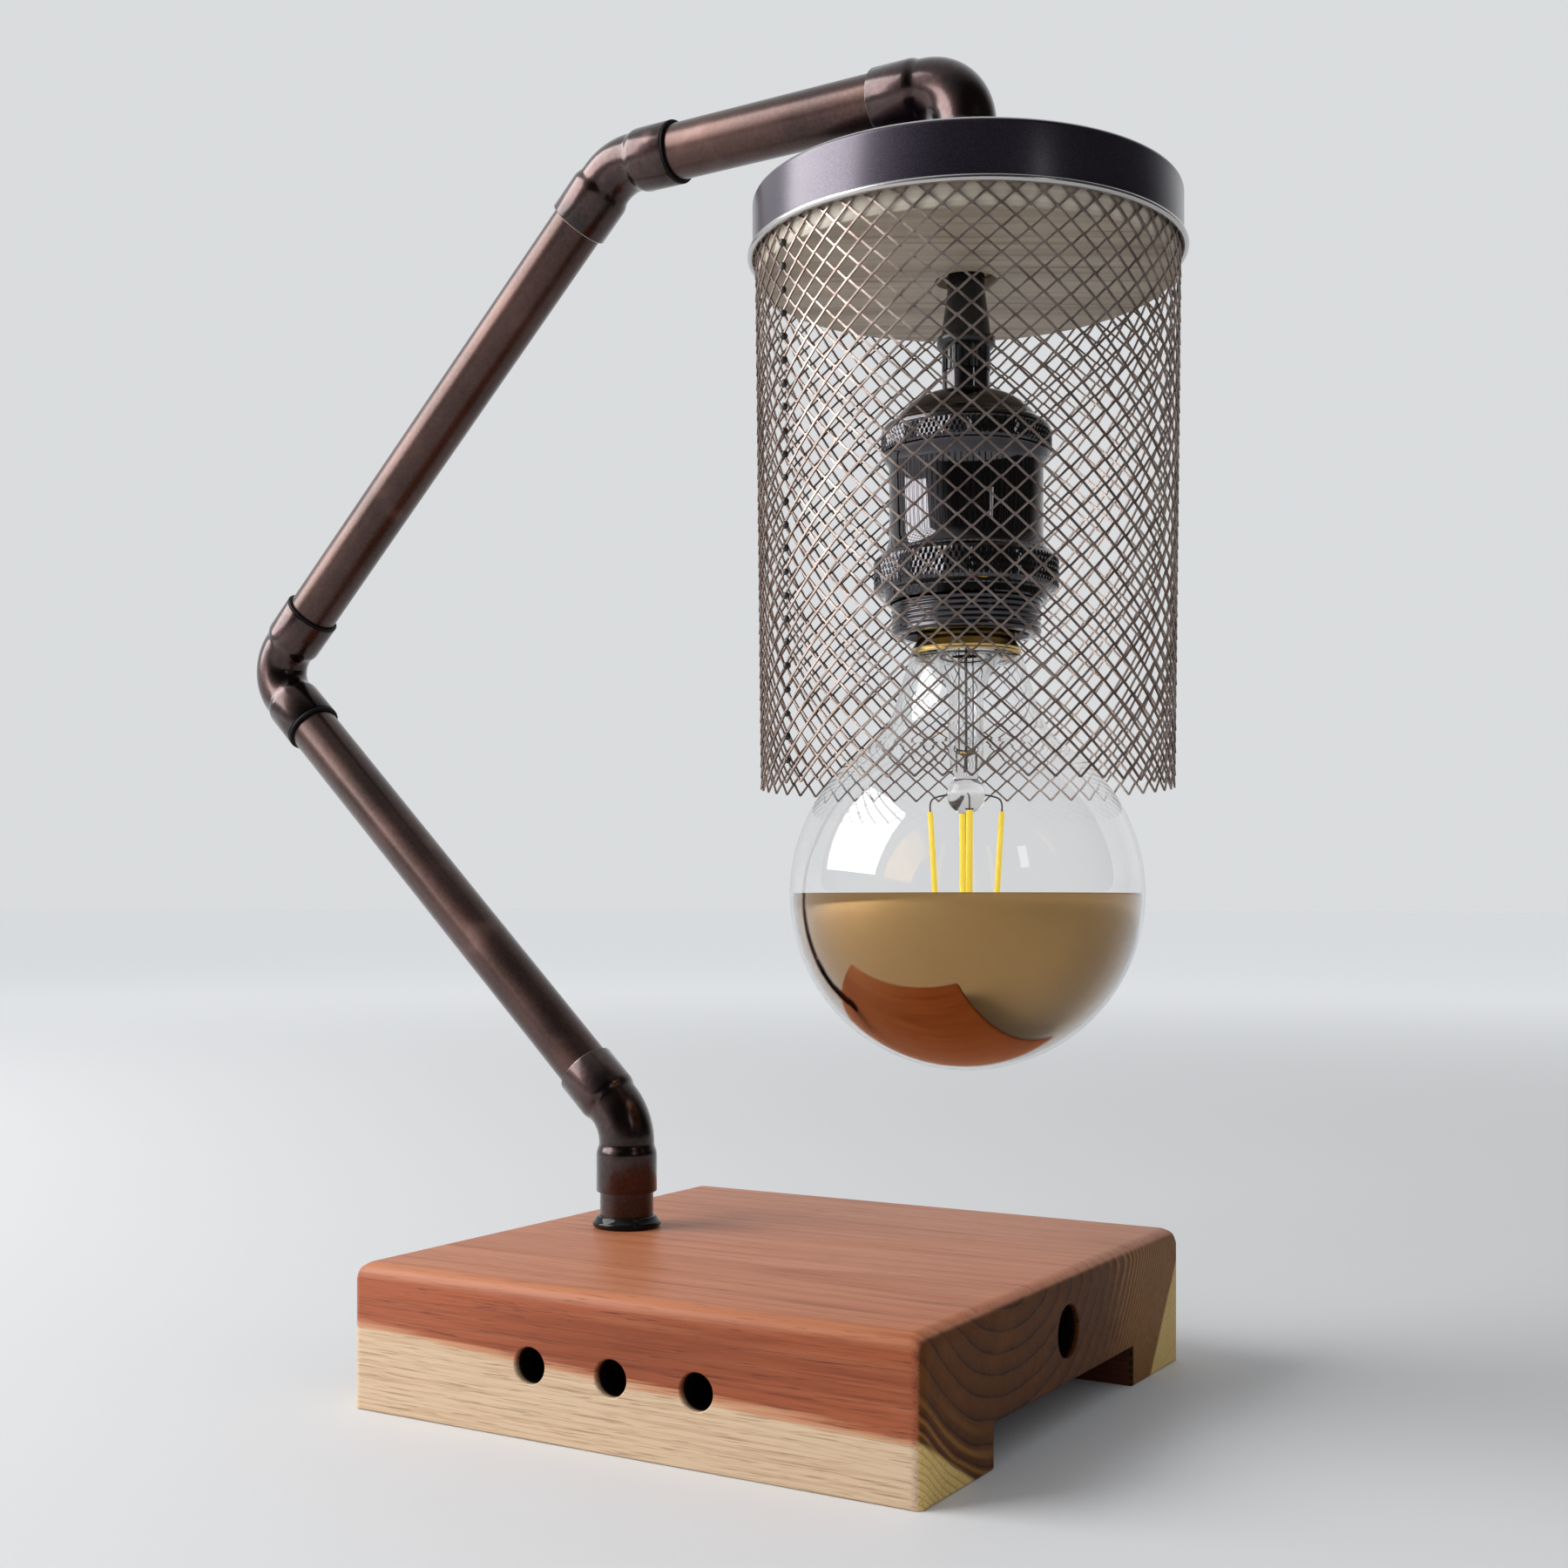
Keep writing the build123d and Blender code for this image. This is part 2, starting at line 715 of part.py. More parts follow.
with BuildPart() as centre_contact:
    with BuildSketch(Plane(origin=(shade_x, 0, 0), x_dir=(1, 0, 0), z_dir=(0, -1, 0))):
        with BuildLine():
            Polyline(
                (contact_arm, floor_bottom),
                (-contact_arm, floor_bottom),
                (-contact_arm, floor_bottom - contact_thickness),
                (contact_arm - contact_thickness, floor_bottom - contact_thickness),
                (0, contact_bottom + contact_thickness),
                (-contact_thickness * 4, contact_bottom + contact_thickness),
                (-contact_thickness * 4, contact_bottom),
                (contact_thickness * 0.5, contact_bottom),
                (contact_arm, floor_bottom - contact_thickness),
                close=True,
            )
        make_face()
    extrude(amount=contact_width / 2, both=True)

# Bulb: brass cap with its skirt on the glass neck, black button and solder tip
bulb_cap_radius = bulb_cap_diameter / 2

with BuildPart() as bulb_cap:
    spin(
        [
            (bulb_skirt_diameter / 2 - bulb_cap_wall, skirt_bottom),
            (bulb_skirt_diameter / 2, skirt_bottom),
            (bulb_skirt_diameter / 2, skirt_bottom + bulb_skirt_height / 3),
            (bulb_cap_radius, cap_shell_bottom),
            (bulb_cap_radius, cap_shell_top),
            (button_diameter / 2, cone_top),
            (button_diameter / 2 - bulb_cap_wall, cone_top),
            (bulb_cap_radius - bulb_cap_wall, cap_shell_top - bulb_cap_wall),
            (bulb_cap_radius - bulb_cap_wall, cap_shell_bottom - bulb_cap_wall / 2),
            (bulb_skirt_diameter / 2 - bulb_cap_wall, skirt_bottom + bulb_skirt_height / 3 - bulb_cap_wall / 2),
        ]
    )

with BuildPart() as cap_button:
    spin(
        [
            (0, cone_top),
            (button_diameter / 2, cone_top),
            (tip_diameter / 2 + bulb_cap_wall, button_top),
            (0, button_top),
        ]
    )

with BuildPart() as tip_contact:
    spin(
        [
            (0, button_top),
            (tip_diameter / 2, button_top),
            (tip_diameter / 4, tip_top),
            (0, tip_top),
        ]
    )

# Glass globe with a conical neck and a hollow bend between them
globe_radius = globe_diameter / 2
globe_z = skirt_bottom - globe_drop
neck_way = Vector(sin(radians(neck_lean)), -cos(radians(neck_lean)))
neck_side = Vector(cos(radians(neck_lean)), sin(radians(neck_lean)))
globe_centre = Vector(0, globe_z)
neck_mouth = Vector(neck_mouth_diameter / 2, skirt_bottom - bulb_cap_wall)
bend_start_line = neck_mouth + neck_side * neck_bend_radius - globe_centre
half_b = bend_start_line.dot(neck_way)
reach = globe_radius + neck_bend_radius
neck_cone_length = -half_b - sqrt(half_b**2 - bend_start_line.length**2 + reach**2)
neck_bend_centre = globe_centre + bend_start_line + neck_way * neck_cone_length
neck_side_end = neck_mouth + neck_way * neck_cone_length


def globe_outline(inset):
    # Neck, cone, hollow bend and sphere, moved inwards by the inset
    along_cone = inset * (1 - neck_side.Y) / cos(radians(neck_lean))
    mouth_point = neck_mouth - neck_side * inset + neck_way * along_cone
    cone_end = neck_side_end - neck_side * inset
    to_globe = (globe_centre - neck_bend_centre).normalized()
    bend_end = neck_bend_centre + to_globe * (neck_bend_radius + inset)
    middle_way = ((cone_end - neck_bend_centre).normalized() + to_globe).normalized()
    bend_middle = neck_bend_centre + middle_way * (neck_bend_radius + inset)
    neck_radius = neck_glass_diameter / 2 - inset
    Polyline((neck_radius, skirt_bottom + glass_in_cap), (neck_radius, mouth_point.Y), mouth_point, cone_end)
    ThreePointArc(cone_end, bend_middle, bend_end)
    ThreePointArc(bend_end, (globe_radius - inset, globe_z), (0, globe_z - globe_radius + inset))


with BuildPart() as bulb_globe:
    with BuildSketch(axial_plane(axis_foot, up)):
        with BuildLine() as globe_lines:
            globe_outline(0)
            globe_outline(globe_wall)
            Line((0, globe_z - globe_radius), (0, globe_z - globe_radius + globe_wall))
            Line(
                (neck_glass_diameter / 2, skirt_bottom + glass_in_cap),
                (neck_glass_diameter / 2 - globe_wall, skirt_bottom + glass_in_cap),
            )
        make_face()
    revolve(axis=Axis(axis_foot, up))

with BuildPart() as bulb_mirror:
    mirror_radius = globe_radius - globe_wall - mirror_gap
    with BuildSketch(axial_plane(axis_foot, up)):
        with BuildLine():
            for radius in (mirror_radius, mirror_radius - mirror_thickness):
                RadiusArc((radius, globe_z), (0, globe_z - radius), radius)
            Line((mirror_radius, globe_z), (mirror_radius - mirror_thickness, globe_z))
            Line((0, globe_z - mirror_radius), (0, globe_z - mirror_radius + mirror_thickness))
        make_face()
    revolve(axis=Axis(axis_foot, up))

# Glass stem, four light strips and the wires that hold them
stem_top = skirt_bottom + glass_in_cap / 2
bead_z = stem_top - stem_length - stem_bead_diameter / 2
bead_half = stem_bead_diameter / 2

with BuildPart() as glass_stem:
    spin(
        [
            (0, stem_top),
            (neck_glass_diameter / 2 - globe_wall - mirror_gap, stem_top),
            (neck_glass_diameter / 2 - globe_wall - mirror_gap, stem_top - globe_wall),
            (stem_diameter / 2, stem_top - stem_flare_height),
            (stem_diameter / 2, bead_z + bead_half),
            (bead_half, bead_z + 0.4 * bead_half),
            (bead_half, bead_z - 0.4 * bead_half),
            (0.5 * bead_half, bead_z - bead_half),
            (0, bead_z - bead_half),
        ]
    )

filament_top = skirt_bottom - filament_top_drop
filament_foot = filament_top - filament_length
filament_planes = [
    Plane(axis_foot).rotated((0, 0, filament_angle + 360 / filament_count * index)) for index in range(filament_count)
]


def place_on(plane, radius, z):
    return plane.from_local_coords(Vector(radius, 0, z))


def rod(points, radius):
    # Bent wire along straight runs
    with BuildLine() as centre_line:
        Polyline(*points)
    with BuildSketch(Plane(origin=points[0], z_dir=points[1] - points[0])) as section:
        Circle(radius)
    sweep(section.sketch, path=centre_line.line, transition=Transition.RIGHT)


def strip(foot, top, side_way, width):
    with BuildSketch(Plane(origin=foot, x_dir=side_way, z_dir=top - foot)) as section:
        Rectangle(width, width)
    extrude(section.sketch, amount=(top - foot).length)


with BuildPart() as filaments:
    for plane in filament_planes:
        top = place_on(plane, filament_top_radius, filament_top)
        foot = place_on(plane, filament_foot_radius, filament_foot)
        strip(foot, top, plane.y_dir, filament_width)

wire_foot = filament_foot - wire_tail

with BuildPart() as support_wires:
    for plane in filament_planes:
        top = place_on(plane, filament_top_radius, filament_top)
        foot = place_on(plane, filament_foot_radius, filament_foot)
        lean = (top - foot).normalized()
        rod([top, top + lean * wire_tail, place_on(plane, bead_half + wire_radius, bead_z)], wire_radius)
        rod([foot, foot - lean * wire_tail / 2, place_on(plane, 0, wire_foot)], wire_radius)
    rod([place_on(filament_planes[0], 0, wire_foot), place_on(filament_planes[0], 0, bead_z - bead_half)], wire_radius)

with BuildPart() as bulb_driver:
    with BuildSketch(Plane(origin=(shade_x, 0, stem_top + mirror_gap))):
        Circle(driver_diameter / 2)
    extrude(amount=driver_height)

pieces = {
    "base_block": base_block,
    "foot_grommet": foot_grommet,
    "stub_pipe": stub_pipe,
    "anchor_washer": anchor_washer,
    "anchor_nut": anchor_nut,
    "bottom_elbow": bottom_elbow,
    "lower_pipe": lower_pipe,
    "knee_elbow": knee_elbow,
    "knee_lower_ring": knee_lower_ring,
    "knee_upper_ring": knee_upper_ring,
    "upper_pipe": upper_pipe,
    "shoulder_elbow": shoulder_elbow,
    "shoulder_ring": shoulder_ring,
    "top_pipe": top_pipe,
    "top_elbow": top_elbow,
    "drop_pipe": drop_pipe,
    "cap_locknut": cap_locknut,
    "shade_cap": shade_cap,
    "disc_flange": disc_flange,
    "flange_screws": flange_screws,
    "wood_disc": wood_disc,
    "mesh_shade": mesh_shade,
    "pipe_bushing": pipe_bushing,
    "nipple": nipple,
    "cord_grip": cord_grip,
    "grip_nut": grip_nut,
    "socket_cap": socket_cap,
    "socket_body": socket_body,
    "socket_insulator": socket_insulator,
    "screw_shell": screw_shell,
    "terminal_screws": terminal_screws,
    "centre_contact": centre_contact,
    "shade_ring": shade_ring,
    "bulb_cap": bulb_cap,
    "cap_button": cap_button,
    "tip_contact": tip_contact,
    "bulb_globe": bulb_globe,
    "bulb_mirror": bulb_mirror,
    "glass_stem": glass_stem,
    "filaments": filaments,
    "support_wires": support_wires,
    "bulb_driver": bulb_driver,
}
for name, piece in pieces.items():
    piece.part.label = name
    export_step(piece.part, f"parts/{name}.step")
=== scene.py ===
import json
import math
import random

import bpy
from mathutils import Matrix, Vector


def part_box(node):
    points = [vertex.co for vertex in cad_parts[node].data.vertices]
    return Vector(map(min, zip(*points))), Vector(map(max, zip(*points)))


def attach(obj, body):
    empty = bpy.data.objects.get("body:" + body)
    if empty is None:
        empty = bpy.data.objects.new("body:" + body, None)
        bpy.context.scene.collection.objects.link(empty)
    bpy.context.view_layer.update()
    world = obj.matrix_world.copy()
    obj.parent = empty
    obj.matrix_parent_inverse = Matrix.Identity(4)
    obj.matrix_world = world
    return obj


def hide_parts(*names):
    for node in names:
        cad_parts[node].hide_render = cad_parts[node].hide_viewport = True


# Table lamp: looks for the pipe arm, wooden block, mesh shade and mirrored bulb
# Dictionaries, outlines and heights are in mm and degrees, places and directions in metres and radians

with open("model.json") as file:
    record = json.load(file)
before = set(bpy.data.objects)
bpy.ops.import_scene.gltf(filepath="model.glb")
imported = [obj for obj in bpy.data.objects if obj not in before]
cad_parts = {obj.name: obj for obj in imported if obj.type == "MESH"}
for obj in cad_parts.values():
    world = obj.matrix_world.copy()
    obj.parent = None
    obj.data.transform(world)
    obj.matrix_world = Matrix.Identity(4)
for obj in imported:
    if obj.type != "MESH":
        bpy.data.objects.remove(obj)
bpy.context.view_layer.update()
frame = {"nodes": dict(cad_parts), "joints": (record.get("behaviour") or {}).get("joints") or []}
print("frame loaded:", len(frame["nodes"]), "nodes")

mm = 0.001
random.seed(7)
finishes = {}


# Shader maths

def plug(tree, value, slot):
    if isinstance(value, Wire):
        tree.links.new(value.socket, slot)
    else:
        slot.default_value = value


def colour(value):
    return (*value, 1) if isinstance(value, tuple) and len(value) == 3 else value


class Wire:
    def __init__(self, tree, socket):
        self.tree = tree
        self.socket = socket

    def maths(self, operation, *values):
        node = self.tree.nodes.new("ShaderNodeMath")
        node.operation = operation
        for value, slot in zip(values, node.inputs):
            plug(self.tree, value, slot)
        return Wire(self.tree, node.outputs[0])

    def __add__(self, other):
        return self.maths("ADD", self, other)

    def __radd__(self, other):
        return self.maths("ADD", other, self)

    def __sub__(self, other):
        return self.maths("SUBTRACT", self, other)

    def __rsub__(self, other):
        return self.maths("SUBTRACT", other, self)

    def __mul__(self, other):
        return self.maths("MULTIPLY", self, other)

    def __truediv__(self, other):
        return self.maths("DIVIDE", self, other)

    def __pow__(self, other):
        return self.maths("POWER", self, other)

    def fraction(self):
        return self.maths("FRACT", self)

    def most(self, other):
        return self.maths("MAXIMUM", self, other)

    def least(self, other):
        return self.maths("MINIMUM", self, other)


class Nodes:
    def __init__(self, tree):
        self.tree = tree

    def add(self, kind, sockets=None, settings=None, output=0):
        node = self.tree.nodes.new(kind)
        for key, value in (settings or {}).items():
            setattr(node, key, value)
        for key, value in (sockets or {}).items():
            plug(self.tree, value, node.inputs[key])
        return Wire(self.tree, node.outputs[output])

    def ease(self, value, low, high, out=(0, 1)):
        sockets = {"Value": value, "From Min": low, "From Max": high, "To Min": out[0], "To Max": out[1]}
        return self.add("ShaderNodeMapRange", sockets, {"interpolation_type": "SMOOTHSTEP"})

    def rays(self, *kinds):
        # 1 for rays of these kinds and 0 for the others
        seen = 0
        for kind in kinds:
            seen = self.add("ShaderNodeLightPath", output=f"Is {kind} Ray") + seen
        return seen.least(1.0)


class Finish(Nodes):
    def __init__(self, name, sockets=None):
        self.material = bpy.data.materials.new(name)
        self.material.use_nodes = True
        super().__init__(self.material.node_tree)
        self.shader = self.tree.nodes["Principled BSDF"]
        self.here = self.add("ShaderNodeTexCoord", output="Object")
        finishes[name] = self
        for socket, value in (sockets or {}).items():
            self.set(socket, value)

    def set(self, socket, value):
        plug(self.tree, value, self.shader.inputs[socket])

    def axes(self):
        # the place on the piece in mm
        return [self.add("ShaderNodeSeparateXYZ", {0: self.here}, output=axis) / mm for axis in range(3)]

    def stretch(self, scale, shift=(0, 0, 0), turn=(0, 0, 0), vector=None):
        sockets = {"Vector": vector or self.here, "Scale": scale, "Rotation": turn, "Location": shift}
        return self.add("ShaderNodeMapping", sockets)

    def noise(self, scale, detail=3, rough=0.5, vector=None):
        sockets = {"Vector": vector or self.here, "Scale": scale, "Detail": detail, "Roughness": rough}
        return self.add("ShaderNodeTexNoise", sockets)

    def grain(self, scale, detail, rough, shift=(0, 0, 0), vector=None):
        return self.noise(1.0, detail, rough, self.stretch(scale, shift, vector=vector))

    def hump(self, value, rise, fall):
        # climbs from 0 to 1 over rise and drops back over fall
        return self.ease(value, *rise) * (1 - self.ease(value, *fall))

    def blend(self, factor, first, second):
        sockets = {0: factor, 6: colour(first), 7: colour(second)}
        return self.add("ShaderNodeMix", sockets, {"data_type": "RGBA"}, 2)

    def layers(self, shade, masks, rows, shades):
        # each row: mask, where it starts and is full, its strength, its colour
        for mask, low, high, strength, tint in rows:
            shade = self.blend(self.ease(masks[mask], low, high, (0, strength)), shade, shades[tint])
        return shade

    def roughen(self, mask, ends):
        self.set("Roughness", self.ease(mask, 0.3, 0.7, ends))

    def bump(self, height, depth):
        self.set("Normal", self.add("ShaderNodeBump", {"Height": height, "Distance": depth * mm}))


# Modelling helpers

def toMode(mode):
    bpy.ops.object.mode_set(mode=mode)


def selectAll():
    bpy.ops.mesh.select_all(action="SELECT")


def clearSelection():
    if bpy.context.object and bpy.context.object.mode != "OBJECT":
        toMode("OBJECT")
    bpy.ops.object.select_all(action="DESELECT")


def choose(*pieces):
    clearSelection()
    for piece in pieces:
        piece.select_set(True)
    bpy.context.view_layer.objects.active = pieces[0]


def named(piece, name):
    piece.name = name
    piece.data.name = name
    return piece


def applyPlace(piece, place=None):
    if place:
        piece.matrix_world = place
        choose(piece)
    bpy.ops.object.transform_apply(location=True, rotation=True, scale=True)
    return piece


def startEditing(name):
    # names the primitive that was just added and leaves it in edit mode, all of it selected
    piece = applyPlace(named(bpy.context.object, name))
    toMode("EDIT")
    selectAll()
    return piece


def endEditing(piece, doubles=0.002, smoothAngle=35):
    bpy.ops.mesh.select_mode(type="VERT")
    selectAll()
    bpy.ops.mesh.remove_doubles(threshold=doubles * mm)
    bpy.ops.mesh.normals_make_consistent(inside=False)
    toMode("OBJECT")
    bpy.ops.object.shade_smooth_by_angle(angle=math.radians(smoothAngle))
    return piece


def pick(piece, parts, wanted):
    # selects vertices, edges or polygons by a test, in edit mode
    modes = {"vertices": "VERT", "edges": "EDGE", "polygons": "FACE"}
    bpy.ops.mesh.select_mode(type=modes[parts])
    bpy.ops.mesh.select_all(action="DESELECT")
    toMode("OBJECT")
    for part in getattr(piece.data, parts):
        part.select = wanted(part)
    toMode("EDIT")


def extrude(move):
    bpy.ops.mesh.extrude_region_move(TRANSFORM_OT_translate={"value": move})


def repeat(move):
    bpy.ops.mesh.duplicate_move(TRANSFORM_OT_translate={"value": move})


def swing(angle, centre):
    bpy.ops.transform.rotate(value=angle, orient_axis="Z", center_override=centre)


def widen(factor, centre):
    bpy.ops.transform.resize(value=(factor, factor, 1), center_override=centre)


def useModifier(piece, kind, **settings):
    choose(piece)
    modifier = piece.modifiers.new(kind.title(), kind)
    for key, value in settings.items():
        setattr(modifier, key, value)
    bpy.ops.object.modifier_apply(modifier=modifier.name)


def joinPieces(name, parts):
    choose(*parts)
    bpy.ops.object.join()
    return named(parts[0], name)


def turned(name, outline, steps=96, smoothAngle=35, centre=None):
    # outline is (radius, height) in mm, drawn by extruding a point and spun round an upright line
    middle = Vector(centre or (shadeX, 0, 0))
    places = [middle + Vector((radius * mm, 0, height * mm)) for radius, height in outline]
    clearSelection()
    bpy.ops.mesh.primitive_plane_add(size=mm)
    piece = startEditing(name)
    bpy.ops.mesh.merge(type="CENTER")
    bpy.ops.transform.translate(value=places[0])
    for start, end in zip(places, places[1:] + places[:1]):
        extrude(end - start)
    selectAll()
    bpy.ops.mesh.remove_doubles(threshold=0.0005 * mm)
    bpy.ops.mesh.spin(steps=steps, angle=2 * math.pi, center=middle, axis=(0, 0, 1))
    return endEditing(piece, 0.0005, smoothAngle)


def arc(centreRadius, centreHeight, radius, start, end, count=8):
    # points of an arc for an outline, in mm and degrees
    points = []
    for index in range(count + 1):
        angle = math.radians(start + (end - start) * index / count)
        points.append((centreRadius + radius * math.cos(angle), centreHeight + radius * math.sin(angle)))
    return points


def beside(radius, height, offsets):
    return [(radius + out, height + up) for out, up in offsets]


def gridLine(radius, start, end, rows):
    return [(radius, start + (end - start) * row / rows) for row in range(rows + 1)]


def ringRun(name, start, way, radius, moves, sides=48, smoothAngle=40):
    # carries a ring of points along a route in the lamp's own upright plane
    tilt = (0, math.atan2(way.x, way.z), 0)
    clearSelection()
    bpy.ops.mesh.primitive_circle_add(vertices=sides, radius=radius, location=start, rotation=tilt)
    piece = startEditing(name)
    centre = start.copy()
    for kind, *move in moves:
        if kind == "bend":
            newWay, bendRadius, steps = move
            inwards = (newWay - way * way.dot(newWay)).normalized()
            pivot = centre + inwards * bendRadius
            turn = way.angle(newWay)
            spinAxis = way.cross(newWay).normalized()
            bpy.ops.mesh.spin(steps=steps, angle=turn * spinSense, center=pivot, axis=spinAxis)
            centre = pivot - (inwards * math.cos(turn) - way * math.sin(turn)) * bendRadius
            way = newWay
        elif kind == "face":
            way = move[0]
        else:
            distance, newRadius = move
            extrude(way * distance)
            centre = centre + way * distance
            bpy.ops.transform.resize(value=[newRadius / radius] * 3, center_override=centre)
            radius = newRadius
    return endEditing(piece, 0.003, smoothAngle)


def goMoves(steps):
    return [("go", distance * mm, radius * mm) for distance, radius in steps]


def band(name, start, way, profile, sides=64):
    # a ring round any of the lamp's axes, with a closed outline of (distance, radius) points in mm
    first = profile[0]
    steps = [(after[0] - before[0], after[1]) for before, after in zip(profile, profile[1:] + profile[:1])]
    return ringRun(name, start + way * (first[0] * mm), way, first[1] * mm, goMoves(steps), sides)


def tubeThrough(name, points, radius, sides=8):
    # thin bent wire along given points
    clearSelection()
    bpy.ops.curve.primitive_nurbs_path_add()
    wire = bpy.context.object
    wire.data.splines.clear()
    spline = wire.data.splines.new("NURBS")
    spline.points.add(len(points) - 1)
    for point, place in zip(spline.points, points):
        point.co = (*place, 1)
    spline.order_u = min(3, len(points))
    spline.use_endpoint_u = True
    shape = {"dimensions": "3D", "bevel_depth": radius, "bevel_resolution": sides // 4}
    for key, value in {**shape, "resolution_u": 6, "use_fill_caps": True}.items():
        setattr(wire.data, key, value)
    bpy.ops.object.convert(target="MESH")
    piece = applyPlace(named(bpy.context.object, name))
    bpy.ops.object.shade_smooth()
    return piece


def roundRod(name, start, end, radius, sides=8, flat=1.0, outward=Vector((1, 0, 0))):
    # a rod with soft ends, squeezed along its outward side where flat is under 1
    way = (end - start).normalized()
    clearSelection()
    bpy.ops.mesh.primitive_cylinder_add(vertices=sides, radius=radius, depth=(end - start).length)
    rod = startEditing(name)
    pick(rod, "polygons", lambda face: abs(face.normal.z) > 0.5)
    bpy.ops.mesh.inset(thickness=radius * 0.3, depth=radius * 0.2)
    selectAll()
    bpy.ops.transform.resize(value=(flat, 1, 1))
    endEditing(rod, smoothAngle=40)
    side = (outward - way * outward.dot(way)).normalized()
    turnIn = Matrix((side, way.cross(side), way)).transposed().to_4x4()
    return applyPlace(rod, Matrix.Translation((start + end) / 2) @ turnIn)


def dress(piece, finish, body, slot, *nodes):
    piece.data.materials.clear()
    piece.data.materials.append(finishes[finish].material)
    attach(piece, body)
    if nodes:
        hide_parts(*nodes)


def take(sizes, names):
    return [sizes[name] for name in names.split()]


def heights(node):
    low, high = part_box(node)
    return low.z / mm, high.z / mm


def radiusOf(node):
    low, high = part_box(node)
    return (high.y - low.y) / 2 / mm


def onAxis(height, outward=Vector(), reach=0):
    # a place on or beside the shade's upright axis
    return axis + outward * (reach * mm) + upWay * (height * mm)


def turnOf(place):
    # degrees round the shade's axis
    return math.degrees(math.atan2(place.y, place.x - shadeX))


# Places that come from the frame

joints = {joint["name"]: joint for joint in frame["joints"]}
knee = Vector(joints["knee_lower_swivel"]["pos_m"])
shoulder = Vector(joints["shoulder_swivel"]["pos_m"])
stubX = joints["base_swivel"]["pos_m"][0]
lowerWay = Vector(joints["knee_lower_swivel"]["axis"]).normalized()
upperWay = Vector(joints["knee_upper_swivel"]["axis"]).normalized()
upWay = Vector((0, 0, 1))
downWay = upWay * -1
topWay = Vector((1, 0, 0))
bottomCorner = knee - lowerWay * ((stubX - knee.x) / -lowerWay.x)
capLow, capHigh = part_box("shade_cap")
shadeX = (capLow.x + capHigh.x) / 2
axis = Vector((shadeX, 0, 0))
topCorner = Vector((shadeX, 0, shoulder.z))

# The spin operator may turn either way, so its sense is measured once
clearSelection()
bpy.ops.mesh.primitive_circle_add(vertices=8, radius=mm, location=(0, 0, 0))
testRing = startEditing("testRing")
bpy.ops.mesh.spin(steps=2, angle=math.pi / 2, center=(10 * mm, 0, 0), axis=(0, 1, 0))
toMode("OBJECT")
spinSense = 1 if max(vertex.co.z for vertex in testRing.data.vertices) > 5 * mm else -1
bpy.data.objects.remove(testRing)
print("spin sense:", spinSense)


# Finishes

def oxidisedCopper(name, look):
    coat = {"Coat Weight": look["sheen"], "Coat Roughness": look["sheenBlur"]}
    finish = Finish(name, {"Metallic": 1.0, **coat})
    cloudy = finish.noise(look["cloudScale"], 4, 0.6)
    fine = finish.noise(look["fineScale"], 3, 0.6)
    worn = finish.noise(look["wornScale"], 2, 0.5, finish.stretch((1, 1, 1), look["wornShift"]))
    shade = finish.blend(finish.ease(cloudy * 0.7 + fine * 0.3, *look["tone"]), look["dark"], look["light"])
    finish.set("Base Color", finish.layers(shade, {"worn": worn}, look["layers"], look))
    finish.roughen(cloudy * 0.5 + worn * 0.5, look["roughness"])
    finish.bump(fine, look["grainDepth"])


pipeLook = {
    "dark": (0.026, 0.011, 0.008),
    "light": (0.084, 0.039, 0.030),
    "rubbed": (0.18, 0.103, 0.089),
    "tone": (0.32, 0.7),
    "layers": [("worn", 0.6, 0.78, 0.55, "rubbed")],
    "sheen": 0.58,
    "sheenBlur": 0.25,
    "cloudScale": 24.0,
    "fineScale": 900.0,
    "wornScale": 55.0,
    "wornShift": (3, 1, 2),
    "roughness": (0.28, 0.38),
    "grainDepth": 0.02,
}
fittingLook = {
    **pipeLook,
    "dark": (0.012, 0.006, 0.006),
    "light": (0.070, 0.034, 0.031),
    "rubbed": (0.19, 0.112, 0.104),
    "sheen": 0.66,
    "sheenBlur": 0.18,
    "cloudScale": 42.0,
    "fineScale": 700.0,
    "wornScale": 90.0,
    "roughness": (0.19, 0.33),
    "grainDepth": 0.04,
}
oxidisedCopper("oxidisedPipe", pipeLook)
oxidisedCopper("oxidisedFitting", fittingLook)


metalLooks = {
    # each metal: colour, share of it in the dark clouds, roughness, scale, depth of the relief
    "dullSolder": ((0.46, 0.37, 0.33), 0.7, 0.3, 500.0, 0.01),
    "zincSteel": ((0.52, 0.52, 0.53), 0.76, 0.32, 220.0, 0.01),
    "contactBrass": ((0.70, 0.50, 0.22), 0.8, 0.25, 200.0, 0.01),
    "bulbBrass": ((0.80, 0.56, 0.22), 0.76, 0.16, 160.0, 0.01),
    "blackChrome": ((0.096, 0.092, 0.098), 0.8, 0.03, 120.0, 0.0),
    "wireMetal": ((0.12, 0.10, 0.09), 0.8, 0.3, 800.0, 0.01),
}
mouldedLooks = {
    # each moulding: colour, roughness, scale, gloss
    "ringRubber": ((0.006, 0.0055, 0.0055), (0.42, 0.55), 500.0, 0.1),
    "glossyGrommet": ((0.004, 0.004, 0.004), (0.05, 0.09), 200.0, 0.22),
    "gripPlastic": ((0.008, 0.008, 0.009), (0.18, 0.28), 300.0, 0.5),
    "porcelain": ((0.62, 0.60, 0.55), (0.35, 0.5), 200.0, 0.5),
    "driverBoard": ((0.03, 0.12, 0.06), (0.4, 0.5), 400.0, 0.5),
    "seamGlue": ((0.02, 0.014, 0.012), (0.3, 0.4), 900.0, 0.5),
}


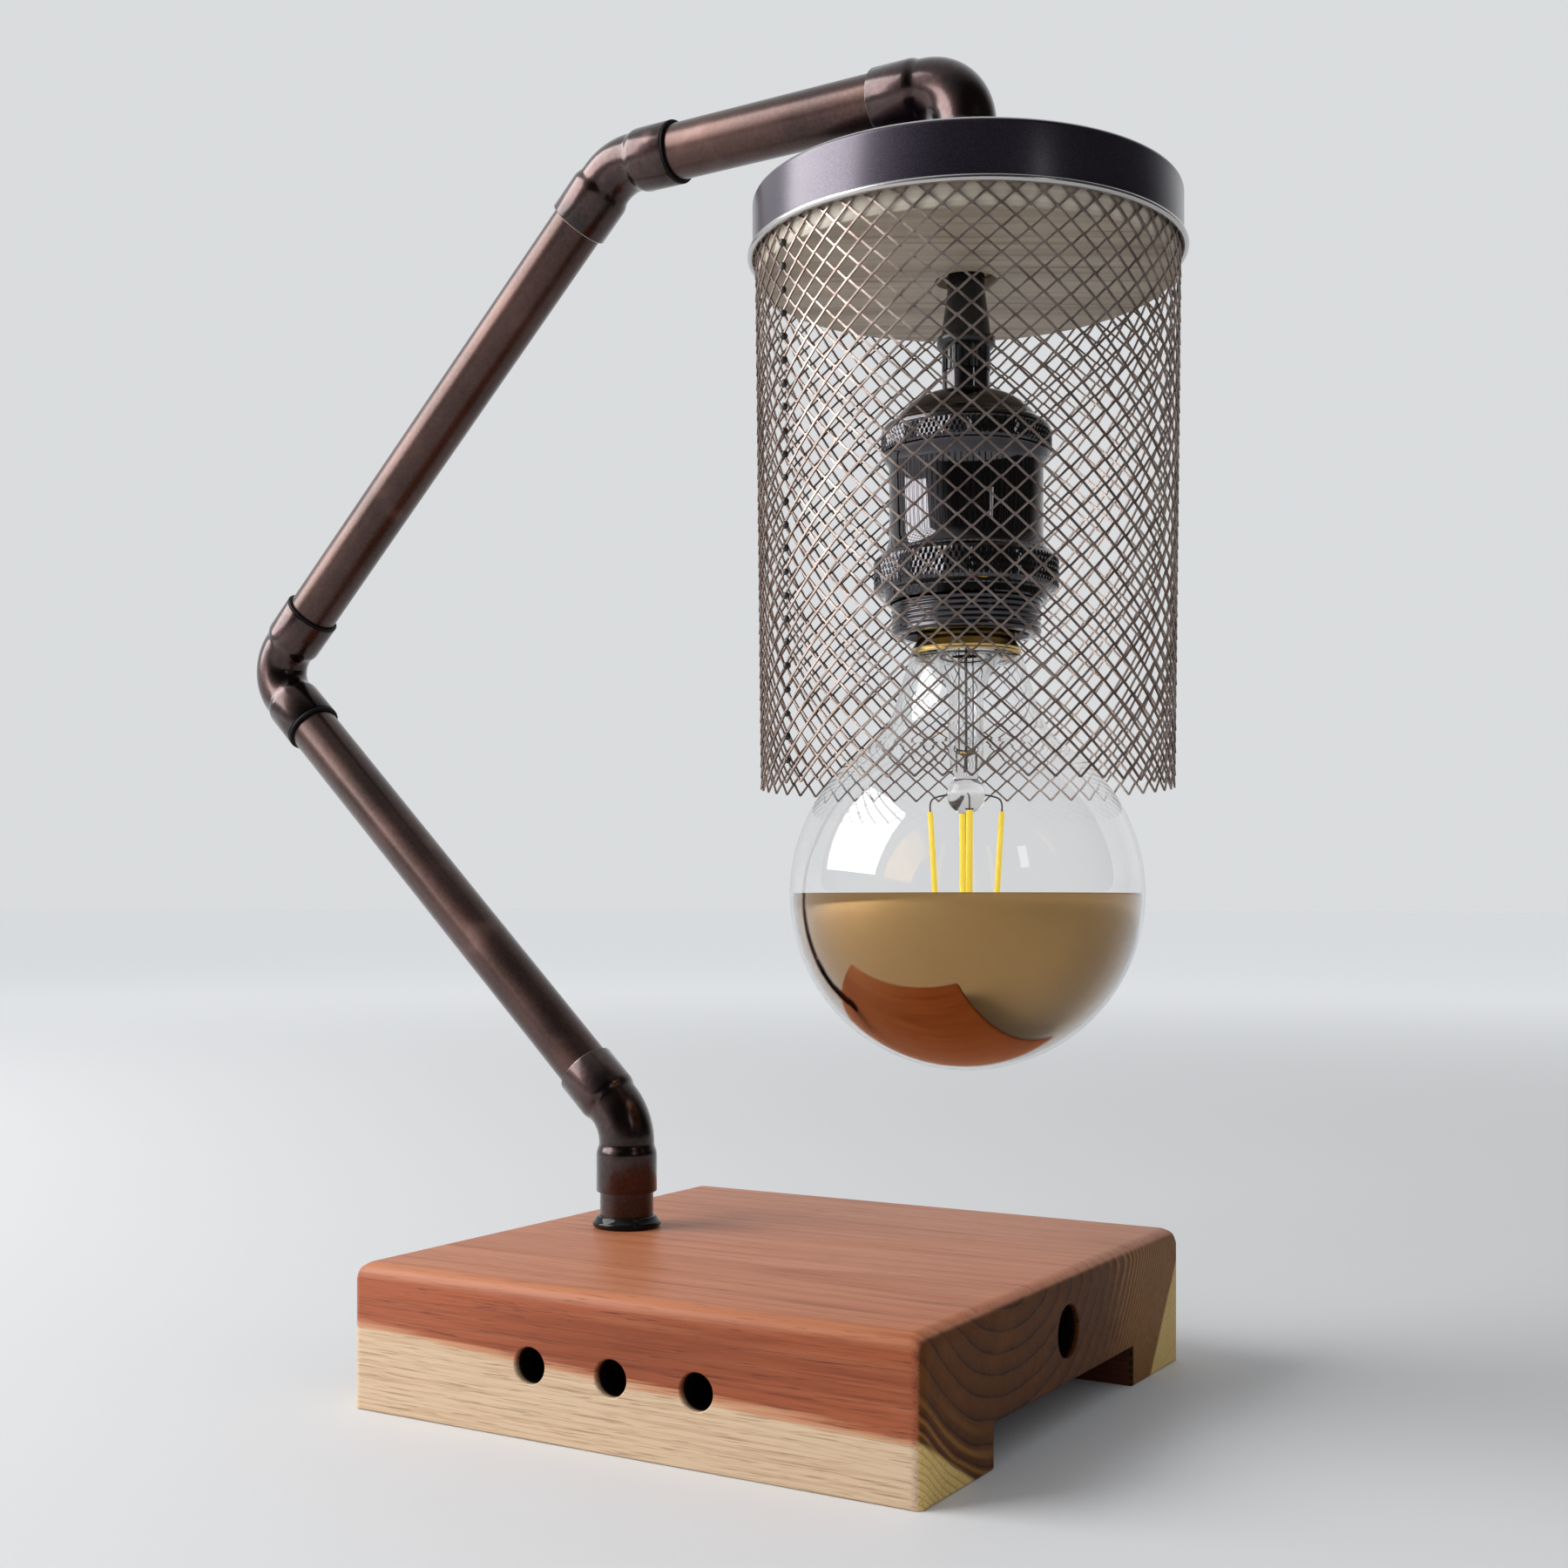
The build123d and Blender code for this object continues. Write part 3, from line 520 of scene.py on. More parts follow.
def plainMetal(name, base, darker, roughness, scale, depth):
    finish = Finish(name, {"Metallic": 1.0})
    cloudy = finish.noise(scale, 3, 0.55)
    shades = [tuple(channel * share for channel in base) for share in (darker, 1)]
    finish.set("Base Color", finish.blend(finish.ease(cloudy, 0.3, 0.7), *shades))
    finish.roughen(cloudy, (roughness, roughness * 1.35))
    finish.bump(cloudy, depth)


def moulded(name, base, roughness, scale, gloss):
    finish = Finish(name, {"Specular IOR Level": gloss})
    cloudy = finish.noise(scale, 3, 0.6)
    finish.set("Base Color", finish.blend(cloudy, base, tuple(channel * 1.7 for channel in base)))
    finish.roughen(cloudy, roughness)
    finish.bump(cloudy, 0.02)


for name, look in metalLooks.items():
    plainMetal(name, *look)
for name, look in mouldedLooks.items():
    moulded(name, *look)


hardwood = {
    "heart": (0.380, 0.105, 0.047),
    "heartDark": (0.165, 0.038, 0.017),
    "heartPale": (0.44, 0.168, 0.082),
    "topHeart": (0.380, 0.120, 0.052),
    "topDark": (0.205, 0.056, 0.026),
    "topPale": (0.50, 0.188, 0.090),
    "sap": (0.67, 0.495, 0.335),
    "sapDark": (0.46, 0.285, 0.160),
    "sapDash": (0.24, 0.135, 0.072),
    "blush": (0.58, 0.235, 0.115),
    "endHeart": (0.112, 0.035, 0.005),
    "endDark": (0.034, 0.012, 0.004),
    "endWarm": (0.205, 0.072, 0.010),
    "endPale": (0.375, 0.178, 0.036),
    "endSap": (0.68, 0.48, 0.17),
    "endSapDark": (0.36, 0.21, 0.06),
    "pore": (0.060, 0.018, 0.010),
    # near-black painted shade for the insides of the bores and the channel
    "paintedBoreShade": (0.006, 0.003, 0.002),
    # each grain: stretch along x, y and z, detail, roughness, shift
    "grains": {
        "drift": ((5, 16, 16), 3, 0.55),
        "fine": ((34, 1900, 1900), 4, 0.65),
        "streaks": ((9, 330, 330), 4, 0.6),
        "bands": ((4.5, 60, 60), 3, 0.55, (2, 5, 1)),
        "pores": ((95, 1700, 1700), 2, 0.5),
        "dashes": ((70, 2300, 2300), 2, 0.5, (7, 3, 5)),
        "lines": ((6, 150, 150), 3, 0.5, (1, 9, 4)),
        "dots": ((200, 1500, 1500), 2, 0.5),
    },
    "frontLayers": [
        ("streaks", 0.46, 0.74, 0.5, "heartPale"),
        ("fine", 0.48, 0.68, 0.5, "heartDark"),
        ("dashes", 0.58, 0.68, 0.25, "heartDark"),
    ],
    "topLayers": [
        ("streaks", 0.52, 0.8, 0.5, "topDark"),
        ("fine", 0.5, 0.75, 0.28, "topDark"),
        ("lines", 0.62, 0.72, 0.42, "heartDark"),
    ],
    "sapLayers": [("fine", 0.48, 0.68, 0.5, "sapDark"), ("dashes", 0.58, 0.68, 0.5, "sapDash")],
    "pithPlace": (-38, 78),
    "pithLean": (0.02, -0.043),
    "ringPitch": 5.2,
    "ringDrift": 8,
    "narrowFrom": 64,
    "narrowLean": 0.15,
    "narrowing": 0.014,
    # parts of one ring, as rise and fall
    "lateWood": ((0.35, 0.93), (0.95, 1.0)),
    "ringLine": ((0.80, 0.93), (0.95, 1.0)),
    "earlyWood": ((0.05, 0.25), (0.35, 0.6)),
    "frontSapHeight": 21.2,
    "frontSapSlope": 0.043,
    "frontSapDepth": 0.55,
    "backSapStart": 60,
    "backSapLean": 0.74,
    "ragged": (7, 5),
    # how far below the top the top palette starts and is full; over the rounded front edge this lighter band
    # is a painted highlight
    "topEdgeHighlight": (4.2, 1.2),
    "endEdge": (1.6, 0.7),
    "warmBand": (22, 52),
    # where the painted shade inside the bores and the channel lies
    "boreRow": [((-32, -31), (31, 32)), ((0.45, 2.4), (36, 38)), ((13, 13.6), (24.4, 25))],
    "endBoreHeight": 24.4,
    "endBoreRadius": (7.4, 7.8),
    "endBoreReach": ((-50, -45), (-1.6, -0.3)),
    "channelWidth": (46.55, 46.8),
    "channelTop": (11.45, 11.7),
    "poreDepth": 0.07,
}


def oiledHardwood(settings):
    finish = Finish("oiledHardwood", {"Specular IOR Level": 0.18})
    x, y, z = finish.axes()
    low, high = [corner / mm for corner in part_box("base_block")]
    grains = {name: finish.grain(*values) for name, values in settings["grains"].items()}
    streaks, fine, bands = grains["streaks"], grains["fine"], grains["bands"]
    drift = grains["drift"] - 0.5
    poreMask = finish.ease(grains["pores"], 0.60, 0.72)

    # growth rings round a pith above the block, wide near it and narrow far out
    offY, offZ = [
        place - centre - x * lean
        for place, centre, lean in zip((y, z), settings["pithPlace"], settings["pithLean"])
    ]
    distance = (offY * offY + offZ * offZ) ** 0.5 + drift * settings["ringDrift"]
    beyond = (distance - settings["narrowFrom"] - (y - low.y) * settings["narrowLean"]).most(0.0)
    ringWave = (distance / settings["ringPitch"] + beyond * beyond * settings["narrowing"]).fraction()
    lateWood, ringLine, earlyWood = [
        finish.hump(ringWave, *settings[part]) for part in ("lateWood", "ringLine", "earlyWood")
    ]

    tone = finish.ease(bands * 0.7 + lateWood * 0.15 + drift, 0.25, 0.75, (0, 0.55))
    front = finish.blend(tone, settings["heart"], settings["heartDark"])
    front = finish.layers(front, grains, settings["frontLayers"], settings)
    topTone = finish.ease(bands * 0.75 + lateWood * 0.25, 0.25, 0.75, (0, 0.7))
    top = finish.blend(topTone, settings["topPale"], settings["topHeart"])
    top = finish.layers(top, grains, settings["topLayers"], settings)
    # the top palette covers the top face and runs down the rounded edge, where the lighter band is a painted
    # highlight on the rounding
    topFaceAndEdgeHighlightMask = finish.ease(z, *[high.z - edge for edge in settings["topEdgeHighlight"]])
    sapTone = finish.ease(streaks * 0.5 + lateWood * 0.25 + bands * 0.25, 0.42, 0.75, (0, 0.45))
    sap = finish.blend(sapTone, settings["sap"], settings["sapDark"])
    sap = finish.layers(sap, grains, settings["sapLayers"], settings)

    # pale sapwood low down along the front and in a wedge at the back
    frontLine = settings["frontSapHeight"] - x * settings["frontSapSlope"] - z
    frontLine = frontLine - (y - low.y) * settings["frontSapDepth"]
    sapLine = frontLine.most(y - settings["backSapStart"] - z * settings["backSapLean"])
    ragged = (streaks - 0.5) * settings["ragged"][0] + (fine - 0.5) * settings["ragged"][1]
    sapMask = finish.ease(sapLine + ragged, -1.8, 1.8)
    wood = finish.blend(sapMask, finish.blend(topFaceAndEdgeHighlightMask, front, top), sap)
    wood = finish.blend(sapMask * (1 - sapMask) * 2.4, wood, settings["blush"])
    poreShade = finish.blend(sapMask, settings["pore"], settings["sapDark"])
    wood = finish.blend(poreMask * (0.45 - topFaceAndEdgeHighlightMask * 0.1), wood, poreShade)

    # end grain on the two short faces
    inner, outer = settings["endEdge"]
    endMask = finish.ease(x, high.x - inner, high.x - outer)
    endMask = endMask + finish.ease(x, low.x + outer, low.x + inner, (1, 0))
    warm = finish.ease(y, *settings["warmBand"])
    endWood = finish.blend(warm, settings["endHeart"], settings["endWarm"])
    for mask in (lateWood * 0.4, ringLine * 0.75):
        endWood = finish.blend(mask, endWood, settings["endDark"])
    endWood = finish.layers(endWood, grains, [("bands", 0.4, 0.7, 0.35, "endWarm")], settings)
    dense = warm.most(finish.ease(frontLine, -16, -3, (0, 0.7)))
    endWood = finish.blend(earlyWood * dense * 0.7, endWood, settings["endPale"])
    endSap = finish.blend(ringLine * 0.5 + lateWood * 0.25, settings["endSap"], settings["endSapDark"])
    endWood = finish.blend(finish.ease(sapLine + drift * 4, -0.8, 1.2), endWood, endSap)
    endWood = finish.layers(endWood, grains, [("dots", 0.55, 0.7, 0.3, "endDark")], settings)
    wood = finish.blend(endMask, wood, endWood)

    # painted shade: the insides of the bores and the channel are coloured near black, standing in for the
    # shade that falls in them
    places = (x - (low.x + high.x) / 2, y - low.y, z)
    row, deep, tall = [finish.hump(place, *span) for place, span in zip(places, settings["boreRow"])]
    offEnd = z - settings["endBoreHeight"]
    endHole = 1 - finish.ease((y * y + offEnd * offEnd) ** 0.5, *settings["endBoreRadius"])
    endHole = endHole * finish.hump(x - high.x, *settings["endBoreReach"])
    channel = 1 - finish.ease(y.maths("ABSOLUTE", y), *settings["channelWidth"])
    channel = channel * (1 - finish.ease(z, *settings["channelTop"]))
    hidden = (row * deep * tall + endHole).most(channel * 0.8)
    finish.set("Base Color", finish.blend(hidden, wood, settings["paintedBoreShade"]))
    sheen = finish.ease(streaks * 0.6 + fine * 0.4, 0.3, 0.7, (0.34, 0.48))
    finish.set("Roughness", sheen + endMask * 0.15)
    finish.bump(fine * 0.4 - poreMask * 0.6 - ringLine * endMask * 0.8, settings["poreDepth"])


oiledHardwood(hardwood)

discWood = {
    "dark": (0.185, 0.128, 0.088),
    "middle": (0.37, 0.285, 0.210),
    "pale": (0.55, 0.462, 0.352),
    "edge": (0.60, 0.54, 0.45),
    "plyLine": (0.40, 0.32, 0.22),
    "stain": (0.30, 0.24, 0.18),
    "grainTurn": 31,
    "streaks": ((14, 500, 60), 4, 0.65),
    "bands": ((6, 70, 10), 3, 0.6),
    "plyPitch": 2.7,
    "faceLayers": [("streaks", 0.5, 0.75, 0.8, "dark")],
    "edgeLayers": [("plies", 0.45, 0.55, 0.35, "plyLine"), ("stains", 0.4, 0.7, 0.4, "stain")],
    "roughness": (0.42, 0.58),
    "grainDepth": 0.05,
}


def fromAxis(x, y):
    offX = x - shadeX / mm
    return (offX * offX + y * y) ** 0.5


def veneerDisc(look):
    finish = Finish("veneerDisc")
    x, y, z = finish.axes()
    along = finish.stretch((1, 1, 1), turn=(0, 0, -math.radians(look["grainTurn"])))
    masks = {
        "streaks": finish.grain(*look["streaks"], vector=along),
        "plies": (z / look["plyPitch"]).fraction(),
        "stains": finish.noise(60.0, 3),
    }
    bands = finish.grain(*look["bands"], vector=along)
    face = finish.blend(finish.ease(bands, 0.3, 0.7), look["middle"], look["pale"])
    face = finish.layers(face, masks, look["faceLayers"], look)
    edge = finish.layers(look["edge"], masks, look["edgeLayers"], look)
    rim = radiusOf("wood_disc")
    finish.set("Base Color", finish.blend(finish.ease(fromAxis(x, y), rim - 0.3, rim - 0.1), face, edge))
    finish.roughen(masks["streaks"], look["roughness"])
    finish.bump(masks["streaks"], look["grainDepth"])


veneerDisc(discWood)

capLook = {
    "dark": (0.024, 0.017, 0.029),
    "light": (0.050, 0.036, 0.060),
    "tin": (0.52, 0.50, 0.49),
    "sheen": 0.72,
    "sheenBlur": 0.24,
    "roughness": (0.30, 0.36),
    "beadHeight": 1.9,
    "radius": 57.5,
    # how far in and down from the top corner the paint has worn off
    "wornIn": (2.2, 1.6),
    "wornDown": (0.9, 0.45),
}


def capPaint(look):
    finish = Finish("satinCapPaint", {"Coat Weight": look["sheen"], "Coat Roughness": look["sheenBlur"]})
    x, y, z = finish.axes()
    beadTop, top = capLow.z / mm + look["beadHeight"], capHigh.z / mm
    beadMask = finish.ease(z, beadTop - 0.25, beadTop + 0.1, (1, 0))
    rimMask = finish.ease(z, *[top - down for down in look["wornDown"]])
    rimMask = rimMask * finish.ease(fromAxis(x, y), *[look["radius"] - wornIn for wornIn in look["wornIn"]])
    bare = beadMask.most(rimMask)
    grain = finish.noise(3200.0, 2, 0.5)
    paint = finish.blend(finish.ease(grain, 0.35, 0.7), look["dark"], look["light"])
    finish.set("Base Color", finish.blend(bare, paint, look["tin"]))
    finish.set("Metallic", 0.7 + bare * 0.3)
    finish.set("Roughness", finish.ease(finish.noise(30.0), 0.3, 0.7, look["roughness"]) - bare * 0.12)
    finish.bump(grain, 0.006)


capPaint(capLook)


cloudyLooks = {
    "meshBronze": {
        "sockets": {"Metallic": 0.85},
        "noises": ((120.0, 3, 0.6), (1500.0, 2)),
        "shades": ((0.20, 0.145, 0.125), (0.42, 0.345, 0.305)),
        "tone": (0.3, 0.7),
        "roughness": (0.36, 0.48),
        "depth": 0.03,
    },
    "goldMirror": {
        "sockets": {"Metallic": 1.0},
        "noises": ((25.0,), (25.0,)),
        "shades": ((0.30, 0.148, 0.020), (0.38, 0.202, 0.034)),
        "roughness": (0.015, 0.03),
    },
    # the light strips glow faintly by themselves, a painted glow, as no lamp is lit in the bulb
    "phosphorStrip": {
        "sockets": {"Emission Color": (1.0, 0.74, 0.06, 1), "Emission Strength": 0.45},
        "noises": ((900.0, 2), (900.0, 2)),
        "shades": ((0.95, 0.62, 0.02), (1.0, 0.80, 0.05)),
        "roughness": (0.4, 0.5),
    },
}


def cloudyFinish(name, look):
    # two close shades over one noise, the roughness and the relief over another
    finish = Finish(name, look["sockets"])
    cloudy, fine = [finish.noise(*values) for values in look["noises"]]
    tone = finish.ease(cloudy, *look["tone"]) if "tone" in look else cloudy
    finish.set("Base Color", finish.blend(tone, *look["shades"]))
    finish.roughen(fine, look["roughness"])
    if "depth" in look:
        finish.bump(fine, look["depth"])


for name, look in cloudyLooks.items():
    cloudyFinish(name, look)

glass = Finish("clearGlass", {"Transmission Weight": 1.0, "IOR": 1.45, "Base Color": (1, 1, 1, 1)})
glass.set("Roughness", glass.ease(glass.noise(40.0, 3, 0.6), 0.45, 0.8, (0.0, 0.012)))
print("finishes ready")


# Base block

blockSizes = {
    "foot": 38.0,
    "channel": 11.4,
    "topRound": 4.5,
    "cornerRound": 3.0,
    "footEdge": 0.8,
    "frontBore": 4.75,
    "frontSpacing": 25.4,
    "frontHeight": 19.0,
    "frontDepths": (28, 30, 32),
    "endBore": 7.0,
    "endHeight": 24.4,
    "endDepth": 40,
    "rim": 0.3,
    "stubDepth": 60,
    "stubRim": 0.2,
    "stubGap": 0.1,
}


def boreCutters(name, mouth, way, radius, depth, rim):
    # a round cutter and a cone that flares its mouth slightly, sizes in mm
    place = Matrix.Translation(mouth) @ way.to_track_quat("Z", "Y").to_matrix().to_4x4()
    over = 4
    clearSelection()
    bpy.ops.mesh.primitive_cylinder_add(vertices=48, radius=radius * mm, depth=(depth + over) * mm)
    bore = startEditing(name)
    bpy.ops.transform.translate(value=(0, 0, (over - depth) / 2 * mm))
    applyPlace(bore, place)
    wide = {"radius1": radius * mm, "radius2": (radius + 2 * rim) * mm}
    clearSelection()
    bpy.ops.mesh.primitive_cone_add(vertices=48, depth=2 * rim * mm, **wide)
    flare = startEditing(name + "Flare")
    return [bore, applyPlace(flare, place)]


def makeBaseBlock(sizes):
    low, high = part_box("base_block")
    middle = (low + high) / 2
    clearSelection()
    bpy.ops.mesh.primitive_cube_add(size=1, location=middle, scale=high - low)
    block = startEditing("woodBlock")
    corners = block.data.vertices
    rounds = {
        "cornerRound": lambda ends: abs(ends[0] - ends[1]) > mm,
        "topRound": lambda ends: min(ends) > high.z - 0.01 * mm,
        "footEdge": lambda ends: max(ends) < low.z + 0.01 * mm,
    }
    for size, wanted in rounds.items():
        pick(block, "edges", lambda edge: wanted([corners[index].co.z for index in edge.vertices]))
        bpy.ops.transform.edge_bevelweight(value=sizes[size] / sizes["topRound"])
    useModifier(block, "BEVEL", width=sizes["topRound"] * mm, segments=7, limit_method="WEIGHT")
    toMode("EDIT")
    endEditing(block)
    over = 10
    length, width = high.x - low.x + 2 * over * mm, high.y - low.y - 2 * sizes["foot"] * mm
    channelSize = (length, width, (sizes["channel"] + over) * mm)
    channelPlace = (middle.x, 0, (sizes["channel"] - over) / 2 * mm)
    clearSelection()
    bpy.ops.mesh.primitive_cube_add(size=1, location=channelPlace, scale=channelSize)
    cutters = [startEditing("channel")]
    rim = sizes["rim"]
    for step, depth in zip((-1, 0, 1), sizes["frontDepths"]):
        mouth = Vector((middle.x + step * sizes["frontSpacing"] * mm, low.y, sizes["frontHeight"] * mm))
        cutters += boreCutters("frontBore", mouth, Vector((0, -1, 0)), sizes["frontBore"], depth, rim)
    endMouth = Vector((high.x, 0, sizes["endHeight"] * mm))
    cutters += boreCutters("endBore", endMouth, topWay, sizes["endBore"], sizes["endDepth"], rim)
    stubMouth, stubHole = Vector((stubX, 0, high.z)), radiusOf("stub_pipe") + sizes["stubGap"]
    cutters += boreCutters("stubHole", stubMouth, upWay, stubHole, sizes["stubDepth"], sizes["stubRim"])
    for cutter in cutters:
        useModifier(block, "BOOLEAN", operation="DIFFERENCE", object=cutter, solver="EXACT")
        bpy.data.objects.remove(cutter)
    choose(block)
    bpy.ops.object.shade_smooth_by_angle(angle=math.radians(25))
    return block


woodBlock = makeBaseBlock(blockSizes)
dress(woodBlock, "oiledHardwood", "base", "base_wood", "base_block")
print("base block modelled:", len(woodBlock.data.polygons), "faces")


# Pipes and fittings of the arm

armSizes = {
    "wall": 0.9,
    "pipeEdge": 0.25,
    "cupLength": 13.5,
    "cupWall": 1.1,
    "bendWall": 1.2,
    "step": 1.0,
    "neck": [(0.5, 0.05), (0.6, 0.2), (0.7, 0.5), (0.6, 0.8), (0.5, 0.95), (0.5, 1.0)],
    "slowBend": 16.0,
    "tightBend": 12.0,
    "bendStep": 4,
    "endGap": 0.3,
    "mouthRound": 0.35,
    "seatGap": 0.05,
    "swivelGap": 0.1,
    "ringSeat": 0.05,
    "ringEdge": 0.4,
    "kneeRing": 1.3,
    "thinRing": 0.8,
    # distance and rise above the pipe of the line of solder
    "solderLine": [(0, 0), (0, 0.5), (0.1, 0.31), (0.24, 0.125), (0.4, 0.03), (0.4, 0)],
    "solderGap": 0.02,
}
pipeRadius = radiusOf("stub_pipe")
cupDepth = armSizes["step"] + armSizes["cupLength"]
cupRadius = pipeRadius + armSizes["cupWall"]


def setback(first, second, bendRadius):
    return bendRadius * math.tan(first.angle(second) / 2)


def makePipe(name, start, length, way, sizes):
    # a drawn tube with softly broken ends
    inner, edge = pipeRadius - sizes["wall"], sizes["pipeEdge"]
    profile = [(edge, pipeRadius), (length - edge, pipeRadius), (length, pipeRadius - edge)]
    profile += [(length, inner), (0, inner), (0, pipeRadius - edge)]
    return band(name, start, way, profile)


def makeElbow(name, corner, arrive, leave, bendRadius, gaps, sizes):
    # one closed skin: cup, bend and cup outside, then back through the bore
    edge, step, cup, neck = take(sizes, "mouthRound step cupLength neck")
    bore = pipeRadius - sizes["wall"]
    bend = bore + sizes["bendWall"]
    straight = cupDepth - sum(length for length, share in neck) - edge
    steps = max(8, int(math.degrees(arrive.angle(leave)) / sizes["bendStep"]))
    outwards = [(edge * 0.3, cupRadius - edge * 0.3), (edge * 0.7, cupRadius), (straight, cupRadius)]
    outwards += [(length, cupRadius + (bend - cupRadius) * share) for length, share in neck]
    lengths = [length for length, share in neck[::-1]]
    shares = [1 - share for length, share in neck[-2::-1]] + [1.0]
    away = [(length, bend + (cupRadius - bend) * share) for length, share in zip(lengths, shares)]
    away += [(straight, cupRadius), (edge * 0.7, cupRadius - edge * 0.3), (edge * 0.3, cupRadius - edge)]
    firstSeat, lastSeat = [pipeRadius + gap for gap in gaps]
    away += [(0, lastSeat), (-cup, lastSeat), (0, bore), (-step, bore)]
    home = [(step, bore), (0, firstSeat), (cup, firstSeat), (0, cupRadius - edge)]
    route = goMoves(outwards) + [("bend", leave, bendRadius * mm, steps)] + goMoves(away)
    route += [("face", leave * -1), ("bend", arrive * -1, bendRadius * mm, steps)] + goMoves(home)
    start = corner - arrive * ((setback(arrive, leave, bendRadius) + cupDepth) * mm)
    return ringRun(name, start, arrive, (cupRadius - edge) * mm, route, 56, 30)


def makeRubberRing(name, start, way, thickness):
    inner, outer = pipeRadius + armSizes["swivelGap"], cupRadius
    edge = min(thickness * 0.45, armSizes["ringEdge"])
    profile = [(edge, outer), (thickness - edge, outer), (thickness - edge * 0.3, outer - edge * 0.3)]
    profile += [(thickness, outer - edge), (thickness, inner), (0, inner), (0, outer - edge)]
    profile += [(edge * 0.3, outer - edge * 0.3)]
    return band(name, start, way, profile)


downs = {"stub_pipe": ("stubTube", stubX, "lower_arm"), "drop_pipe": ("dropTube", shadeX, "head")}
for node, (name, x, body) in downs.items():
    low, high = heights(node)
    tube = makePipe(name, Vector((x, 0, low * mm)), high - low, upWay, armSizes)
    dress(tube, "oxidisedPipe", body, "patina_copper", node)

slow, tight = armSizes["slowBend"], armSizes["tightBend"]
footBack = setback(upWay, lowerWay, slow)
kneeBack = setback(lowerWay, upperWay, tight)
shoulderBack = setback(upperWay, topWay, slow)
topBack = setback(topWay, downWay, tight)
armTubes = {
    "lower": (bottomCorner, knee, lowerWay, footBack, kneeBack, "lower_arm"),
    "upper": (knee, shoulder, upperWay, kneeBack, shoulderBack, "upper_arm"),
    "top": (shoulder, topCorner, topWay, shoulderBack, topBack, "head"),
}
for label, (start, end, way, startBack, endBack, body) in armTubes.items():
    seat = armSizes["step"] + armSizes["endGap"]
    length = (end - start).length / mm - startBack - endBack - 2 * seat
    tube = makePipe(label + "Tube", start + way * ((startBack + seat) * mm), length, way, armSizes)
    dress(tube, "oxidisedPipe", body, "patina_copper", label + "_pipe")
print("pipes modelled")

fixed, loose = armSizes["seatGap"], armSizes["swivelGap"]
elbows = {
    "bottom": (bottomCorner, upWay, lowerWay, slow, (fixed, fixed), "lower_arm"),
    "knee": (knee, lowerWay, upperWay, tight, (loose, loose), "knee"),
    "shoulder": (shoulder, upperWay, topWay, slow, (fixed, loose), "upper_arm"),
    "top": (topCorner, topWay, downWay, tight, (fixed, fixed), "head"),
}
for label, (corner, arrive, leave, bendRadius, gaps, body) in elbows.items():
    elbow = makeElbow(label + "Elbow", corner, arrive, leave, bendRadius, gaps, armSizes)
    dress(elbow, "oxidisedFitting", body, "fitting_copper", label + "_elbow")
print("elbows modelled")

rubberRings = {
    "kneeLower": (knee, lowerWay * -1, kneeBack, "kneeRing", "knee", "knee_lower_ring"),
    "kneeUpper": (knee, upperWay, kneeBack, "thinRing", "knee", "knee_upper_ring"),
    "shoulder": (shoulder, topWay, shoulderBack, "thinRing", "upper_arm", "shoulder_ring"),
}
for label, (corner, way, back, size, body, node) in rubberRings.items():
    start = corner + way * ((back + cupDepth + armSizes["ringSeat"]) * mm)
    ring = makeRubberRing(label + "Ring", start, way, armSizes[size])
    dress(ring, "ringRubber", body, "black_rubber", node)

# the thin bright line of solder that creeps out of a fixed mouth
solderRings = {
    "foot": (bottomCorner, lowerWay, footBack, "lower_arm"),
    "shoulder": (shoulder, upperWay * -1, shoulderBack, "upper_arm"),
    "top": (topCorner, topWay * -1, topBack, "head"),
}
solderProfile = [(reach, pipeRadius + armSizes["solderGap"] + rise) for reach, rise in armSizes["solderLine"]]
for label, (corner, way, back, body) in solderRings.items():
    ring = band(label + "Solder", corner + way * ((back + cupDepth) * mm), way, solderProfile)
    dress(ring, "dullSolder", body, "fitting_copper")

grommetSizes = {
    "flange": 10.2,
    "bead": 1.1,
    "shoulder": 9.1,
    "lip": 0.7,
}


def makeGrommet(sizes):
    # a rounded bead of rubber that hugs the pipe
    low, high = heights("foot_grommet")
    inner = pipeRadius + armSizes["swivelGap"]
    bead, lip = sizes["bead"], sizes["lip"]
    outline = [(inner, low)] + arc(sizes["flange"] - bead, low + bead, bead, -90, 62, 9)
    outline += arc(sizes["shoulder"] - lip, high - lip, lip, 25, 90, 5) + [(inner, high)]
    return turned("footGrommet", outline, centre=(stubX, 0, 0))


dress(makeGrommet(grommetSizes), "glossyGrommet", "lower_arm", "black_rubber", "foot_grommet")
print("rings modelled")


# Shade: cap, disc and expanded mesh

capSizes = {
    "radius": 57.5,
    "corner": 1.5,
    "wall": 0.6,
    "beadRadius": 0.95,
    "beadStand": 1.4,
    "topRings": (20, 40),
    "beadLead": (3, 0.2),
    "beadInside": 0.3,
}


def makeCap(sizes):
    low, high = heights("shade_cap")
    radius, corner, wall, bead = take(sizes, "radius corner wall beadRadius")
    hole = pipeRadius + armSizes["seatGap"]
    outline = [(hole, high)] + [(ring, high) for ring in sizes["topRings"]]
    outline += arc(radius - corner, high - corner, corner, 90, 0, 8)
    outline += [(radius, low + 2 * bead + lead) for lead in sizes["beadLead"]]
    outline += arc(radius + sizes["beadStand"] - bead, low + bead, bead, 105, -180, 18)
    outline += [(radius - wall, low + bead + sizes["beadInside"])]
    outline += arc(radius - corner, high - corner, corner - wall, 0, 90, 5)
    outline += [(hole, high - wall)]
    return turned("pressedCap", outline, 160, 40)


dress(makeCap(capSizes), "satinCapPaint", "head", "cap_bronze", "shade_cap")

